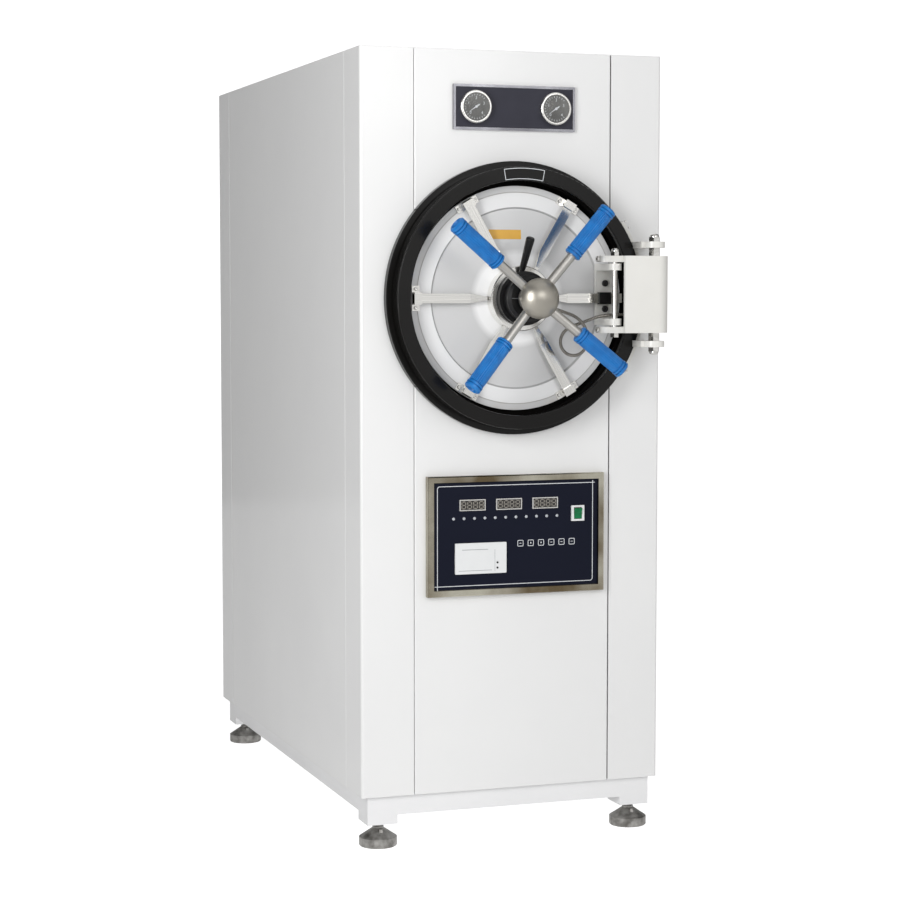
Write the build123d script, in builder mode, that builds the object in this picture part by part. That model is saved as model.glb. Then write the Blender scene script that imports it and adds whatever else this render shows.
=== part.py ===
from build123d import *
from math import cos, pi, radians, sin
import os

# Horizontal steam autoclave: a sheet-clad cabinet round a cylindrical pressure chamber, with a
# round swinging door that six radial bars lock and a central handwheel presses shut.
# Millimetres, +X to the right as seen from the front, +Y to the back, +Z up. The origin is on
# the floor, under the middle of the whole machine.

# Cabinet
cabinet_width = 670.0
cabinet_depth = 1238.0
shell_height = 1550.0
sheet = 2.0
corner_face = 115.0
corner_side = 110.0
corner_radius = 6.0
panel_joint = 1.5
panel_return = 18.0
panel_edge_radius = 3.0

# Base frame and levelling feet
leg_height = 61.0
leg_size = 66.0
rail_height = 42.0
rail_width = 40.0
pan_thickness = 2.0
base_side_inset = 16.0
base_front_inset = 10.0
leg_corner_radius = 8.0
foot_height = 50.0
foot_radius = 40.0
foot_rim = 19.0
foot_neck_radius = 12.0
foot_neck_height = 38.0
foot_stem_radius = 8.0
foot_lug = 9.0
foot_lug_thickness = 7.0

# Chamber
chamber_bore = 220.0
chamber_wall = 6.0
chamber_length = 1000.0
chamber_dish = 100.0
chamber_flange_radius = 257.0
chamber_flange_thickness = 20.0
panel_hole_clearance = 3.0
gasket_inner = 222.0
gasket_outer = 229.0
gasket_depth = 6.0
gasket_proud = 2.0
gasket_clearance = 0.3
saddle_thickness = 40.0
saddle_half_width = 160.0
saddle_height = 120.0
saddle_wrap = 74.0
saddle_setback = 150.0
saddle_spacing = 700.0
stand_leg_size = 44.0
stand_leg_offset = 120.0

# Door ring, measured from the cabinet's front plane
door_axis_rise = 1037.0
ring_flange_radius = 284.5
ring_flange_thickness = 16.0
ring_neck_radius = 268.5
ring_radius = 271.7
ring_reach = 55.0
ring_edge_radius = 2.0
lip_thickness = 13.0
lip_bore = 243.0
groove_bore = 260.0
groove_floor = 22.0

# Door disc
disc_radius = 233.0
disc_seat_radius = 230.0
disc_land = 214.0
disc_front = 20.0
disc_rim = 6.0
disc_step_radius = 189.0
disc_step = 4.0
disc_step_run = 3.0
disc_line_radius = 220.0
disc_line = 0.8
disc_hub_radius = 73.0
disc_hub_rise = 8.0
disc_plate = 8.0

# Hub
collar_radius = 67.5
collar_bore = 53.0
collar_height = 28.0
collar_rebate_radius = 57.0
collar_rebate = 6.0
collar_chamfer = 2.0
cover_clearance = 0.5
cover_head_radius = 48.0
cover_head_chamfer = 6.0
cover_neck_radius = 38.0
cover_reach = 100.0
cover_bore_clearance = 0.6
lever_ring_radius = 56.0
lever_ring_height = 16.0
running_gap = 0.4
lever_tilt = 24.0
lever_lean = 6.0
lever_root_x = -5.5
lever_stalk_radius = 5.5
lever_stalk_length = 9.0
lever_grip_root_radius = 6.5
lever_grip_radius = 9.3
lever_grip_length = 71.0

# Locking bars
bar_count = 6
bar_pitch = 360.0 / bar_count
bar_tip = 232.0
bar_tail = 32.0
bar_blade_start = 108.0
bar_stem_end = 74.0
bar_width = 20.0
bar_thickness = 7.0
bar_stem_depth = 14.0
bar_rear = 29.5
bar_slot_clearance = 0.3
guide_radius = 223.0
guide_length = 16.0
guide_span = 52.0
guide_foot = 4.0
guide_bridge = 25.0
guide_roof = 4.0
inner_guide_radius = 192.0
inner_guide_length = 26.0

# Handwheel
wheel_angle = 50.7
wheel_root = 137.0
wheel_cone = 4.75
wheel_boss_radius = 30.0
wheel_boss_rear = 108.0
screw_radius = 14.0
spoke_count = 4
spoke_radius = 9.5
spoke_length = 228.0
grip_start = 113.5
grip_end = 236.0
grip_radius = 17.0
grip_bead_radius = 18.0
grip_bead = 8.0
grip_bore_clearance = 0.2
cap_radius = 41.7
cap_rear = 151.0
cap_rim = 2.0
cap_dome = 26.5

# Door hinge
hinge_rise = 8.0
hinge_setout = 98.0
outer_pin_x = 277.8
inner_pin_x = 188.5
outer_pin_radius = 8.0
inner_pin_radius = 6.0
hinge_running_clearance = 0.08
pin_hole_clearance = 0.2
arm_height = 160.0
arm_barrel_radius = 28.0
arm_plate = 8.0
arm_plate_left = 200.0
arm_flange = 13.0
arm_nose_x = 167.5
arm_nose_radius = 14.0
ear_gap = 17.0
ear_thickness = 13.0
ear_nose_radius = 22.0
ear_inner_x = 248.0
nut_radius = 12.5
nut_height = 9.0
nut_dome_radius = 10.0
nut_dome = 7.0
band_thickness = 10.0
band_reach = 44.0
band_half_angle = 35.0
band_clearance = 0.3
bracket_base_left = 175.0
bracket_base_right = 217.0
bracket_base = 8.0
bracket_ear = 14.0
bracket_ear_gap = 3.0

# Sensor conduit
conduit_diameter = 6.5
conduit_lead = 20.0
gland_radius = 6.0
gland_length = 12.0
gland_pad = 10.0
hub_gland_angle = -20.0
hub_gland_setout = 88.0
hub_pad_reach = 52.0
arm_gland_drop = 34.0
arm_gland_setout = 84.0
arm_pad_x = 241.0

# Gauge plate and control panel
gauge_plate_width = 270.0
gauge_plate_height = 93.0
gauge_plate_rise = 1431.5
gauge_plate_reach = 7.0
gauge_plate_rim = 5.0
gauge_face_depth = 3.0
gauge_slate = 1.0
gauge_spread = 88.5
gauge_radius = 34.0
gauge_height = 14.0
gauge_dial_radius = 29.5
gauge_dial_depth = 3.0
control_width = 396.0
control_height = 252.0
control_shift = 4.0
control_rise = 541.5
control_reach = 16.0
control_rim = 13.0
control_recess = 9.0
fascia_thickness = 3.0
display_width = 56.0
display_height = 22.0
display_reach = 1.5
display_pitch = 81.5
display_left = -98.5
display_rise = 64.5
printer_width = 114.0
printer_height = 65.0
printer_reach = 4.0
printer_x = -80.5
printer_rise = -47.5
switch_width = 29.0
switch_height = 33.0
switch_bezel_reach = 4.0
switch_x = 138.5
switch_rise = 40.5
rocker_width = 17.0
rocker_height = 24.0
rocker_clearance = 0.5
rocker_drum_radius = 4.0
rocker_pin_radius = 1.5
rocker_pin_play = 0.05
rocker_setback = 2.0
rocker_tilt = 9.0

# Places that follow from the sizes
shell_bottom = foot_height + leg_height
shell_top = shell_bottom + shell_height
cap_front = cap_rear + cap_rim + cap_dome
front_y = -(cabinet_depth - cap_front) / 2
back_y = front_y + cabinet_depth
middle_y = (front_y + back_y) / 2
axis_z = shell_bottom + door_axis_rise
panel_hole = chamber_flange_radius + panel_hole_clearance
collar_base = disc_front - disc_step + disc_hub_rise
collar_front = collar_base + collar_height
cover_seat = collar_front - collar_rebate
bar_front = bar_rear + bar_stem_depth
arm_bottom = hinge_rise - arm_height / 2
arm_top = arm_bottom + arm_height
arm_front = hinge_setout + arm_barrel_radius
floor_of_shell = Plane.XY.offset(shell_bottom)

# The door is drawn on the cabinet's front plane as seen by a person who stands before it, and its
# turned parts on a half section, where x is the radius and y the distance in front of the cabinet.
door_face = Plane(origin=(0, front_y, axis_z), x_dir=(1, 0, 0), z_dir=(0, -1, 0))
door_section = Plane(origin=(0, front_y, axis_z), x_dir=(0, 0, 1), z_dir=(1, 0, 0))
door_axis = Axis((0, front_y, axis_z), (0, -1, 0))
panel_face = Plane(origin=(0, front_y, shell_bottom), x_dir=(1, 0, 0), z_dir=(0, -1, 0))


def turned(*points):
    """A closed half section, ready to be revolved about the door's axis."""
    with BuildSketch(door_section) as profile:
        with BuildLine():
            Polyline(*points, close=True)
        make_face()
    return profile.sketch


def plan(height):
    """A level plane at a height above the door's axis, with its x to the right and y to the back."""
    return Plane(origin=(0, front_y, axis_z + height), x_dir=(1, 0, 0), z_dir=(0, 0, 1))


def save(part, name):
    """Labels a finished piece and writes it under its own name."""
    part.label = name
    export_step(part, f"parts/{name}.step")


os.makedirs("parts", exist_ok=True)

# Base frame: rails round a floor pan, with a deeper leg at each corner.
base_width = cabinet_width - 2 * base_side_inset
base_depth = cabinet_depth - 2 * base_front_inset
with BuildPart() as base_frame:
    with BuildSketch(floor_of_shell):
        with Locations((0, middle_y)):
            Rectangle(base_width, base_depth)
    extrude(amount=-pan_thickness)
    with BuildSketch(floor_of_shell):
        with Locations((0, middle_y)):
            Rectangle(base_width, base_depth)
            Rectangle(base_width - 2 * rail_width, base_depth - 2 * rail_width, mode=Mode.SUBTRACT)
    extrude(amount=-rail_height)
    with BuildSketch(floor_of_shell):
        with Locations((0, middle_y)):
            with GridLocations(base_width - leg_size, base_depth - leg_size, 2, 2):
                Rectangle(leg_size, leg_size)
    extrude(amount=-leg_height)
save(base_frame.part, "base_frame")

# Levelling feet: cast bells on threaded stems, each with a lug on its front slope.
with BuildPart() as foot:
    with BuildSketch(Plane.XZ):
        with BuildLine():
            Polyline(
                (0, 0),
                (foot_radius - 2, 0),
                (foot_radius, 2),
                (foot_radius, foot_rim),
                (foot_neck_radius, foot_neck_height),
                (foot_neck_radius, foot_neck_height + 3),
                (foot_stem_radius, foot_neck_height + 3),
                (foot_stem_radius, foot_height),
                (0, foot_height),
                close=True,
            )
        make_face()
    revolve(axis=Axis.Z)
    with BuildSketch(Plane.YZ.offset(-foot_lug_thickness / 2)):
        with BuildLine():
            Polyline(
                (0, foot_rim),
                (0, foot_neck_height + 2),
                (-foot_neck_radius - foot_lug, foot_neck_height - 1),
                (-foot_neck_radius - 1.5 * foot_lug, foot_rim + 4),
                (-foot_neck_radius - foot_lug, foot_rim - 2),
                close=True,
            )
        make_face()
    extrude(amount=foot_lug_thickness)
with BuildPart() as levelling_feet:
    with Locations((0, middle_y)):
        with GridLocations(base_width - leg_size, base_depth - leg_size, 2, 2):
            add(foot.part)
save(levelling_feet.part, "levelling_feet")

# Corner posts: folded sheet angles with closed ends, one shape mirrored to the four corners.
with BuildPart() as front_left_post:
    with BuildSketch(floor_of_shell):
        with Locations((-cabinet_width / 2, front_y)):
            Rectangle(corner_face, corner_side, align=(Align.MIN, Align.MIN))
    extrude(amount=shell_height - sheet)
    outer_fold = front_left_post.edges().filter_by(Axis.Z).group_by(Axis.X)[0].sort_by(Axis.Y)[0]
    fillet(outer_fold, corner_radius)
    inner_sides = [
        front_left_post.faces().sort_by(Axis.X)[-1],
        front_left_post.faces().sort_by(Axis.Y)[-1],
    ]
    offset(amount=-sheet, openings=inner_sides)
with BuildPart() as rear_left_post:
    add(front_left_post.part)
    mirror(about=Plane.XZ.offset(-middle_y), mode=Mode.REPLACE)
with BuildPart() as rear_right_post:
    add(rear_left_post.part)
    mirror(about=Plane.YZ, mode=Mode.REPLACE)
with front_left_post:
    with BuildSketch(door_face):
        Circle(panel_hole)
    extrude(amount=-corner_side, mode=Mode.SUBTRACT)
with BuildPart() as front_right_post:
    add(front_left_post.part)
    mirror(about=Plane.YZ, mode=Mode.REPLACE)
save(front_left_post.part, "front_left_post")
save(front_right_post.part, "front_right_post")
save(rear_left_post.part, "rear_left_post")
save(rear_right_post.part, "rear_right_post")


def folded_panel(face, width):
    """A sheet panel as high as the posts, with its rim folded back from its outer face."""
    with BuildPart() as panel:
        with BuildSketch(face):
            with Locations((0, (shell_height - sheet) / 2)):
                Rectangle(width, shell_height - sheet)
        extrude(amount=-panel_return)
        outer = panel.faces().sort_by(Axis(face.origin, face.z_dir))[-1]
        fillet(outer.edges().filter_by(Axis.Z), panel_edge_radius)
        back = panel.faces().sort_by(Axis(face.origin, face.z_dir))[0]
        offset(amount=-sheet, openings=back)
    return panel.part


# Cladding between the posts. The hole for the chamber's flange is wider than the front panel and
# parts it in two, and it bites into both front posts.
front_width = cabinet_width - 2 * corner_face - 2 * panel_joint
side_width = cabinet_depth - 2 * corner_side - 2 * panel_joint
left_face = Plane(origin=(-cabinet_width / 2, middle_y, shell_bottom), x_dir=(0, -1, 0), z_dir=(-1, 0, 0))
right_face = Plane(origin=(cabinet_width / 2, middle_y, shell_bottom), x_dir=(0, 1, 0), z_dir=(1, 0, 0))
rear_face = Plane(origin=(0, back_y, shell_bottom), x_dir=(-1, 0, 0), z_dir=(0, 1, 0))
with BuildPart() as front_panels:
    add(folded_panel(panel_face, front_width))
    with BuildSketch(door_face):
        Circle(panel_hole)
    extrude(amount=-panel_return, mode=Mode.SUBTRACT)
front_pieces = front_panels.solids().sort_by(Axis.Z)
with BuildPart() as lower_front_panel:
    add(front_pieces[0])
with BuildPart() as upper_front_panel:
    add(front_pieces[-1])
save(lower_front_panel.part, "lower_front_panel")
save(upper_front_panel.part, "upper_front_panel")
save(folded_panel(left_face, side_width), "left_side_panel")
save(folded_panel(right_face, side_width), "right_side_panel")
save(folded_panel(rear_face, front_width), "rear_panel")

# Top panel: one sheet that lies on the posts and panels.
with BuildPart() as top_panel:
    with BuildSketch(Plane.XY.offset(shell_top - sheet)):
        with Locations((0, middle_y)):
            RectangleRounded(cabinet_width, cabinet_depth, corner_radius)
    extrude(amount=sheet)
    fillet(top_panel.faces().sort_by(Axis.Z)[-1].edges(), sheet * 0.7)
save(top_panel.part, "top_panel")

# Chamber stands: four square legs and two saddles that the shell lies in.
saddle_ys = [front_y + saddle_setback, front_y + saddle_setback + saddle_spacing]
chamber_outer = chamber_bore + chamber_wall
saddle_top = axis_z - chamber_outer + saddle_wrap
saddle_bottom = saddle_top - saddle_height
with BuildPart() as chamber_saddles:
    for saddle_y in saddle_ys:
        with BuildSketch(Plane.XZ.offset(-saddle_y - saddle_thickness / 2)):
            with Locations((0, (saddle_top + saddle_bottom) / 2)):
                Rectangle(2 * saddle_half_width, saddle_height)
            with Locations((0, axis_z)):
                Circle(chamber_outer, mode=Mode.SUBTRACT)
        extrude(amount=saddle_thickness)
save(chamber_saddles.part, "chamber_saddles")
with BuildPart() as chamber_legs:
    for saddle_y in saddle_ys:
        with BuildSketch(floor_of_shell):
            with Locations((-stand_leg_offset, saddle_y), (stand_leg_offset, saddle_y)):
                Rectangle(stand_leg_size, stand_leg_size)
                Rectangle(stand_leg_size - 6, stand_leg_size - 6, mode=Mode.SUBTRACT)
        extrude(amount=saddle_bottom - shell_bottom)
save(chamber_legs.part, "chamber_legs")

# Chamber: a cylinder with a front flange that is grooved for the gasket, and a dished back.
with BuildPart() as chamber_shell:
    revolve(
        turned(
            (chamber_bore, 0),
            (gasket_inner, 0),
            (gasket_inner, -gasket_depth),
            (gasket_outer, -gasket_depth),
            (gasket_outer, 0),
            (chamber_flange_radius, 0),
            (chamber_flange_radius, -chamber_flange_thickness),
            (chamber_outer, -chamber_flange_thickness),
            (chamber_outer, -chamber_length),
            (chamber_bore, -chamber_length),
        ),
        axis=door_axis,
    )
save(chamber_shell.part, "chamber_shell")
with BuildPart() as chamber_back:
    with BuildSketch(door_section) as dish:
        with Locations((0, -chamber_length)):
            Ellipse(chamber_outer, chamber_dish)
            Ellipse(chamber_bore, chamber_dish - chamber_wall, mode=Mode.SUBTRACT)
            Rectangle(2 * chamber_outer, chamber_dish, align=(Align.CENTER, Align.MIN), mode=Mode.SUBTRACT)
            Rectangle(chamber_outer, 3 * chamber_dish, align=(Align.MAX, Align.CENTER), mode=Mode.SUBTRACT)
    revolve(axis=door_axis)
save(chamber_back.part, "chamber_back")

# Door gasket: a rubber ring in the flange's groove, proud of it by what the door squeezes.
with BuildPart() as door_gasket:
    revolve(
        turned(
            (gasket_inner + gasket_clearance, -gasket_depth),
            (gasket_outer - gasket_clearance, -gasket_depth),
            (gasket_outer - gasket_clearance, gasket_proud - 1),
            (gasket_outer - 1.5, gasket_proud),
            (gasket_inner + 1.5, gasket_proud),
            (gasket_inner + gasket_clearance, gasket_proud - 1),
        ),
        axis=door_axis,
    )
save(door_gasket.part, "door_gasket")

# Door ring: a flange on the cabinet, a sleeve that leaves a groove for the bars' ends, and a lip
# in front that holds them in.
lip_rear = ring_reach - lip_thickness
with BuildPart() as ring_flange:
    revolve(
        turned(
            (lip_bore, 0),
            (ring_flange_radius, 0),
            (ring_flange_radius, ring_flange_thickness),
            (ring_neck_radius, ring_flange_thickness),
            (ring_neck_radius, groove_floor),
            (lip_bore, groove_floor),
        ),
        axis=door_axis,
    )
    fillet(ring_flange.faces().sort_by(Axis.Y)[1].edges(), ring_edge_radius)
save(ring_flange.part, "ring_flange")
with BuildPart() as ring_sleeve:
    with BuildSketch(door_face.offset(groove_floor)):
        Circle(ring_radius)
        Circle(groove_bore, mode=Mode.SUBTRACT)
    extrude(amount=lip_rear - groove_floor)
save(ring_sleeve.part, "ring_sleeve")
with BuildPart() as ring_lip:
    with BuildSketch(door_face.offset(lip_rear)):
        Circle(ring_radius)
        Circle(lip_bore, mode=Mode.SUBTRACT)
    extrude(amount=lip_thickness)
    fillet(ring_lip.faces().sort_by(Axis.Y)[0].edges(), ring_edge_radius)
save(ring_lip.part, "ring_lip")

# Door disc: a dished plate with a flat rim and a line turned in it. Its edge tapers back so that it
# swings clear.
disc_rear = gasket_proud + gasket_clearance
disc_field = disc_front - disc_step
with BuildPart() as door_disc:
    revolve(
        turned(
            (0, collar_base),
            (disc_hub_radius, collar_base),
            (disc_step_radius - disc_step_run, disc_field),
            (disc_step_radius, disc_front),
            (disc_line_radius - disc_line, disc_front),
            (disc_line_radius, disc_front - disc_line),
            (disc_line_radius + disc_line, disc_front),
            (disc_radius, disc_front),
            (disc_radius, disc_front - disc_rim),
            (disc_seat_radius, disc_rear),
            (disc_land, disc_rear),
            (disc_land - disc_plate, disc_field - disc_plate),
            (disc_hub_radius, collar_base - disc_plate),
            (0, collar_base - disc_plate),
        ),
        axis=door_axis,
    )
save(door_disc.part, "door_disc")

# Hub collar: a steel ring on the disc, with a window for each bar and a rebate for the cover.
window_width = bar_thickness + 2 * bar_slot_clearance
with BuildPart() as hub_collar:
    revolve(
        turned(
            (collar_bore, collar_base),
            (collar_radius, collar_base),
            (collar_radius, collar_front - collar_chamfer),
            (collar_radius - collar_chamfer, collar_front),
            (collar_rebate_radius, collar_front),
            (collar_rebate_radius, cover_seat),
            (collar_bore, cover_seat),
        ),
        axis=door_axis,
    )
    with BuildSketch(door_face.offset(bar_rear - bar_slot_clearance)):
        with PolarLocations((collar_radius + collar_bore) / 2, bar_count):
            Rectangle(1.6 * (collar_radius - collar_bore), window_width)
    extrude(amount=bar_stem_depth + 2 * bar_slot_clearance, mode=Mode.SUBTRACT)
save(hub_collar.part, "hub_collar")

# Hub cover: a spool in the collar's rebate that the lever ring turns on. The screw passes through
# it, and a flat pad on its head carries the conduit's gland.
lever_ring_rear = collar_front + running_gap
lever_ring_front = lever_ring_rear + lever_ring_height
head_rear = lever_ring_front + running_gap
cover_bore = screw_radius + cover_bore_clearance
hub_pad = Plane(
    origin=(0, front_y - hub_gland_setout, axis_z),
    x_dir=(0, -1, 0),
    z_dir=(cos(radians(hub_gland_angle)), 0, sin(radians(hub_gland_angle))),
)
with BuildPart() as hub_cover:
    revolve(
        turned(
            (cover_bore, cover_seat),
            (collar_rebate_radius - cover_clearance, cover_seat),
            (collar_rebate_radius - cover_clearance, collar_front),
            (cover_neck_radius, collar_front),
            (cover_neck_radius, head_rear),
            (cover_head_radius, head_rear),
            (cover_head_radius, cover_reach - cover_head_chamfer),
            (cover_head_radius - cover_head_chamfer, cover_reach),
            (cover_bore, cover_reach),
        ),
        axis=door_axis,
    )
    with BuildSketch(hub_pad.offset(cover_neck_radius)):
        Rectangle(2 * gland_radius + 4, 2 * gland_radius + 4)
    extrude(amount=hub_pad_reach - cover_neck_radius)
save(hub_cover.part, "hub_cover")


def bar_section(radius, width, depth):
    """A cross section of the bar that points to the right, at a distance from the door's axis."""
    across = Plane(
        origin=(radius, front_y - bar_rear - depth / 2, axis_z),
        x_dir=(0, -1, 0),
        z_dir=(1, 0, 0),
    )
    with BuildSketch(across) as section:
        Rectangle(depth, width)
    return section.sketch


# Locking bars: a flat blade outside, twisted on edge towards the hub.
with BuildPart() as locking_bar:
    stem_face = bar_section(bar_stem_end, bar_thickness, bar_stem_depth)
    blade_face = bar_section(bar_blade_start, bar_width, bar_thickness)
    extrude(stem_face, amount=bar_tail - bar_stem_end)
    loft([stem_face.face(), blade_face.face()])
    extrude(blade_face, amount=bar_tip - bar_blade_start)
    chamfer(locking_bar.faces().sort_by(Axis.X)[-1].edges(), 1.0)
for bar_number in range(bar_count):
    with BuildPart() as placed_bar:
        add(locking_bar.part.rotate(door_axis, bar_number * bar_pitch))
    save(placed_bar.part, f"locking_bar_{bar_number + 1}")

# Bar guides: a bridge over each bar at the rim. The one at the hinge sits further in, on the
# hinge bracket.
guide_height = bar_rear - disc_front + bar_thickness + bar_slot_clearance + guide_roof
guide_slot = bar_width + 2 * bar_slot_clearance
bracket_top = disc_front + bracket_base
with BuildPart() as bar_guides:
    with BuildSketch(door_face.offset(disc_front)):
        with PolarLocations(guide_radius, bar_count - 1, bar_pitch, 360 - bar_pitch):
            Rectangle(guide_length, guide_span)
    extrude(amount=guide_foot)
    with BuildSketch(door_face.offset(disc_front)):
        with PolarLocations(guide_radius, bar_count - 1, bar_pitch, 360 - bar_pitch):
            Rectangle(guide_length, guide_bridge)
    extrude(amount=guide_height)
    with BuildSketch(door_face.offset(disc_front)):
        with PolarLocations(guide_radius, bar_count - 1, bar_pitch, 360 - bar_pitch):
            Rectangle(2 * guide_length, guide_slot)
    extrude(amount=guide_height - guide_roof, mode=Mode.SUBTRACT)
save(bar_guides.part, "bar_guides")
with BuildPart() as hinge_side_guide:
    with BuildSketch(door_face.offset(bracket_top)):
        with Locations((inner_guide_radius, 0)):
            Rectangle(inner_guide_length, guide_bridge)
    extrude(amount=disc_front + guide_height - bracket_top)
    with BuildSketch(door_face.offset(bracket_top)):
        with Locations((inner_guide_radius, 0)):
            Rectangle(2 * inner_guide_length, guide_slot)
    extrude(amount=disc_front + guide_height - guide_roof - bracket_top, mode=Mode.SUBTRACT)
save(hinge_side_guide.part, "hinge_side_guide")

# Lever: a ring on the hub cover, with a round handle on a short stalk that leans out from the door and
# is thicker towards its end.
stalk_root = Vector(lever_root_x, front_y - (lever_ring_rear + lever_ring_front) / 2, axis_z + lever_ring_radius - 4)
stalk_direction = Vector(
    sin(radians(lever_lean)),
    -sin(radians(lever_tilt)),
    cos(radians(lever_tilt)),
)
stalk_plane = Plane(origin=stalk_root, x_dir=(1, 0, 0), z_dir=stalk_direction)
with BuildPart() as lever_ring:
    revolve(
        turned(
            (cover_neck_radius + cover_clearance, lever_ring_rear),
            (lever_ring_radius, lever_ring_rear),
            (lever_ring_radius, lever_ring_front),
            (cover_neck_radius + cover_clearance, lever_ring_front),
        ),
        axis=door_axis,
    )
    with BuildSketch(stalk_plane):
        Circle(lever_stalk_radius)
    extrude(amount=lever_stalk_length)
save(lever_ring.part, "lever_ring")
with BuildPart() as lever_grip:
    with BuildSketch(stalk_plane.offset(lever_stalk_length)) as grip_root:
        Circle(lever_grip_root_radius)
    with BuildSketch(stalk_plane.offset(lever_stalk_length + lever_grip_length)) as grip_end_face:
        Circle(lever_grip_radius)
    loft([grip_root.sketch.face(), grip_end_face.sketch.face()])
    fillet(lever_grip.edges().filter_by(GeomType.CIRCLE).sort_by(Axis.Z)[-1], 4.0)
    fillet(lever_grip.edges().filter_by(GeomType.CIRCLE).sort_by(Axis.Z)[0], 1.5)
save(lever_grip.part, "lever_grip")


def spoke_plane(number, distance):
    """A plane across one spoke of the handwheel, at a distance along it."""
    angle = radians(wheel_angle + number * 360.0 / spoke_count)
    cone = radians(wheel_cone)
    along = Vector(cos(angle) * cos(cone), -sin(cone), sin(angle) * cos(cone))
    root = Vector(0, front_y - wheel_root, axis_z)
    return Plane(origin=root + along * distance, z_dir=along)


# Handwheel: the pressing screw, its boss and four spokes that lean slightly forward.
with BuildPart() as handwheel_spider:
    revolve(
        turned(
            (0, collar_base + running_gap),
            (screw_radius, collar_base + running_gap),
            (screw_radius, wheel_boss_rear),
            (wheel_boss_radius, wheel_boss_rear),
            (wheel_boss_radius, cap_rear),
            (0, cap_rear),
        ),
        axis=door_axis,
    )
    for spoke_number in range(spoke_count):
        with BuildSketch(spoke_plane(spoke_number, 0)):
            Circle(spoke_radius)
        extrude(amount=spoke_length)
save(handwheel_spider.part, "handwheel_spider")
with BuildPart() as handwheel_grips:
    for spoke_number in range(spoke_count):
        with BuildSketch(spoke_plane(spoke_number, grip_start)):
            Circle(grip_radius)
        extrude(amount=grip_end - grip_start)
        with BuildSketch(
            spoke_plane(spoke_number, grip_start),
            spoke_plane(spoke_number, grip_end - grip_bead),
        ):
            Circle(grip_bead_radius)
        extrude(amount=grip_bead)
        with BuildSketch(spoke_plane(spoke_number, grip_start)):
            Circle(spoke_radius + grip_bore_clearance)
        extrude(amount=spoke_length - grip_start, mode=Mode.SUBTRACT)
save(handwheel_grips.part, "handwheel_grips")

# Handwheel cap: a spun dome with a thin rim.
cap_sphere = (cap_radius**2 + cap_dome**2) / (2 * cap_dome)
with BuildPart() as handwheel_cap:
    with BuildSketch(door_section):
        with BuildLine():
            Polyline((0, cap_rear + cap_rim), (0, cap_rear), (cap_radius, cap_rear), (cap_radius, cap_rear + cap_rim))
            RadiusArc((cap_radius, cap_rear + cap_rim), (0, cap_front), -cap_sphere)
            Line((0, cap_front), (0, cap_rear + cap_rim))
        make_face()
    revolve(axis=door_axis)
save(handwheel_cap.part, "handwheel_cap")

# Hinge arm: a channel between two pins, with a round barrel on the outer one, flanges that
# carry the inner one and a pad inside for the conduit's gland.
with BuildPart() as hinge_arm:
    with BuildSketch(plan(arm_bottom)):
        with Locations((outer_pin_x, -hinge_setout)):
            Circle(arm_barrel_radius)
        with Locations((arm_plate_left, -arm_front)):
            Rectangle(outer_pin_x - arm_plate_left, arm_plate, align=(Align.MIN, Align.MIN))
    extrude(amount=arm_height)
    with BuildSketch(plan(arm_bottom), plan(arm_top - arm_flange)):
        with Locations((arm_plate_left, -hinge_setout)):
            Rectangle(outer_pin_x - arm_plate_left, 2 * arm_barrel_radius, align=(Align.MIN, Align.CENTER))
        with Locations((arm_nose_x, -hinge_setout)):
            Circle(arm_nose_radius)
            Rectangle(arm_plate_left - arm_nose_x, 2 * arm_nose_radius, align=(Align.MIN, Align.CENTER))
    extrude(amount=arm_flange)
    with BuildSketch(plan(-arm_gland_drop - gland_radius - 3)):
        with Locations((arm_pad_x, -arm_gland_setout)):
            Rectangle(outer_pin_x - arm_pad_x, 2 * gland_pad, align=(Align.MIN, Align.CENTER))
    extrude(amount=2 * gland_radius + 6)
    with BuildSketch(plan(arm_bottom)):
        with Locations((outer_pin_x, -hinge_setout)):
            Circle(outer_pin_radius + hinge_running_clearance)
        with Locations((inner_pin_x, -hinge_setout)):
            Circle(inner_pin_radius + pin_hole_clearance)
    extrude(amount=arm_height, mode=Mode.SUBTRACT)
save(hinge_arm.part, "hinge_arm")

# Inner hinge pin: a rod between the arm's flanges, with a nut at both ends and a dome on the upper one.
inner_head_radius = 1.6 * inner_pin_radius
with BuildPart() as inner_hinge_pin:
    with BuildSketch(plan(arm_bottom)):
        with Locations((inner_pin_x, -hinge_setout)):
            Circle(inner_pin_radius)
    extrude(amount=arm_height)
    with BuildSketch(plan(arm_top), plan(arm_bottom - nut_height)):
        with Locations((inner_pin_x, -hinge_setout)):
            RegularPolygon(inner_head_radius, 6)
    extrude(amount=nut_height)
    with BuildSketch(plan(arm_top + nut_height)):
        with Locations((inner_pin_x, -hinge_setout)):
            Circle(0.8 * inner_head_radius)
    extrude(amount=nut_dome)
    fillet(inner_hinge_pin.faces().sort_by(Axis.Z)[-1].edges(), 0.7 * nut_dome)
save(inner_hinge_pin.part, "inner_hinge_pin")

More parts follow.
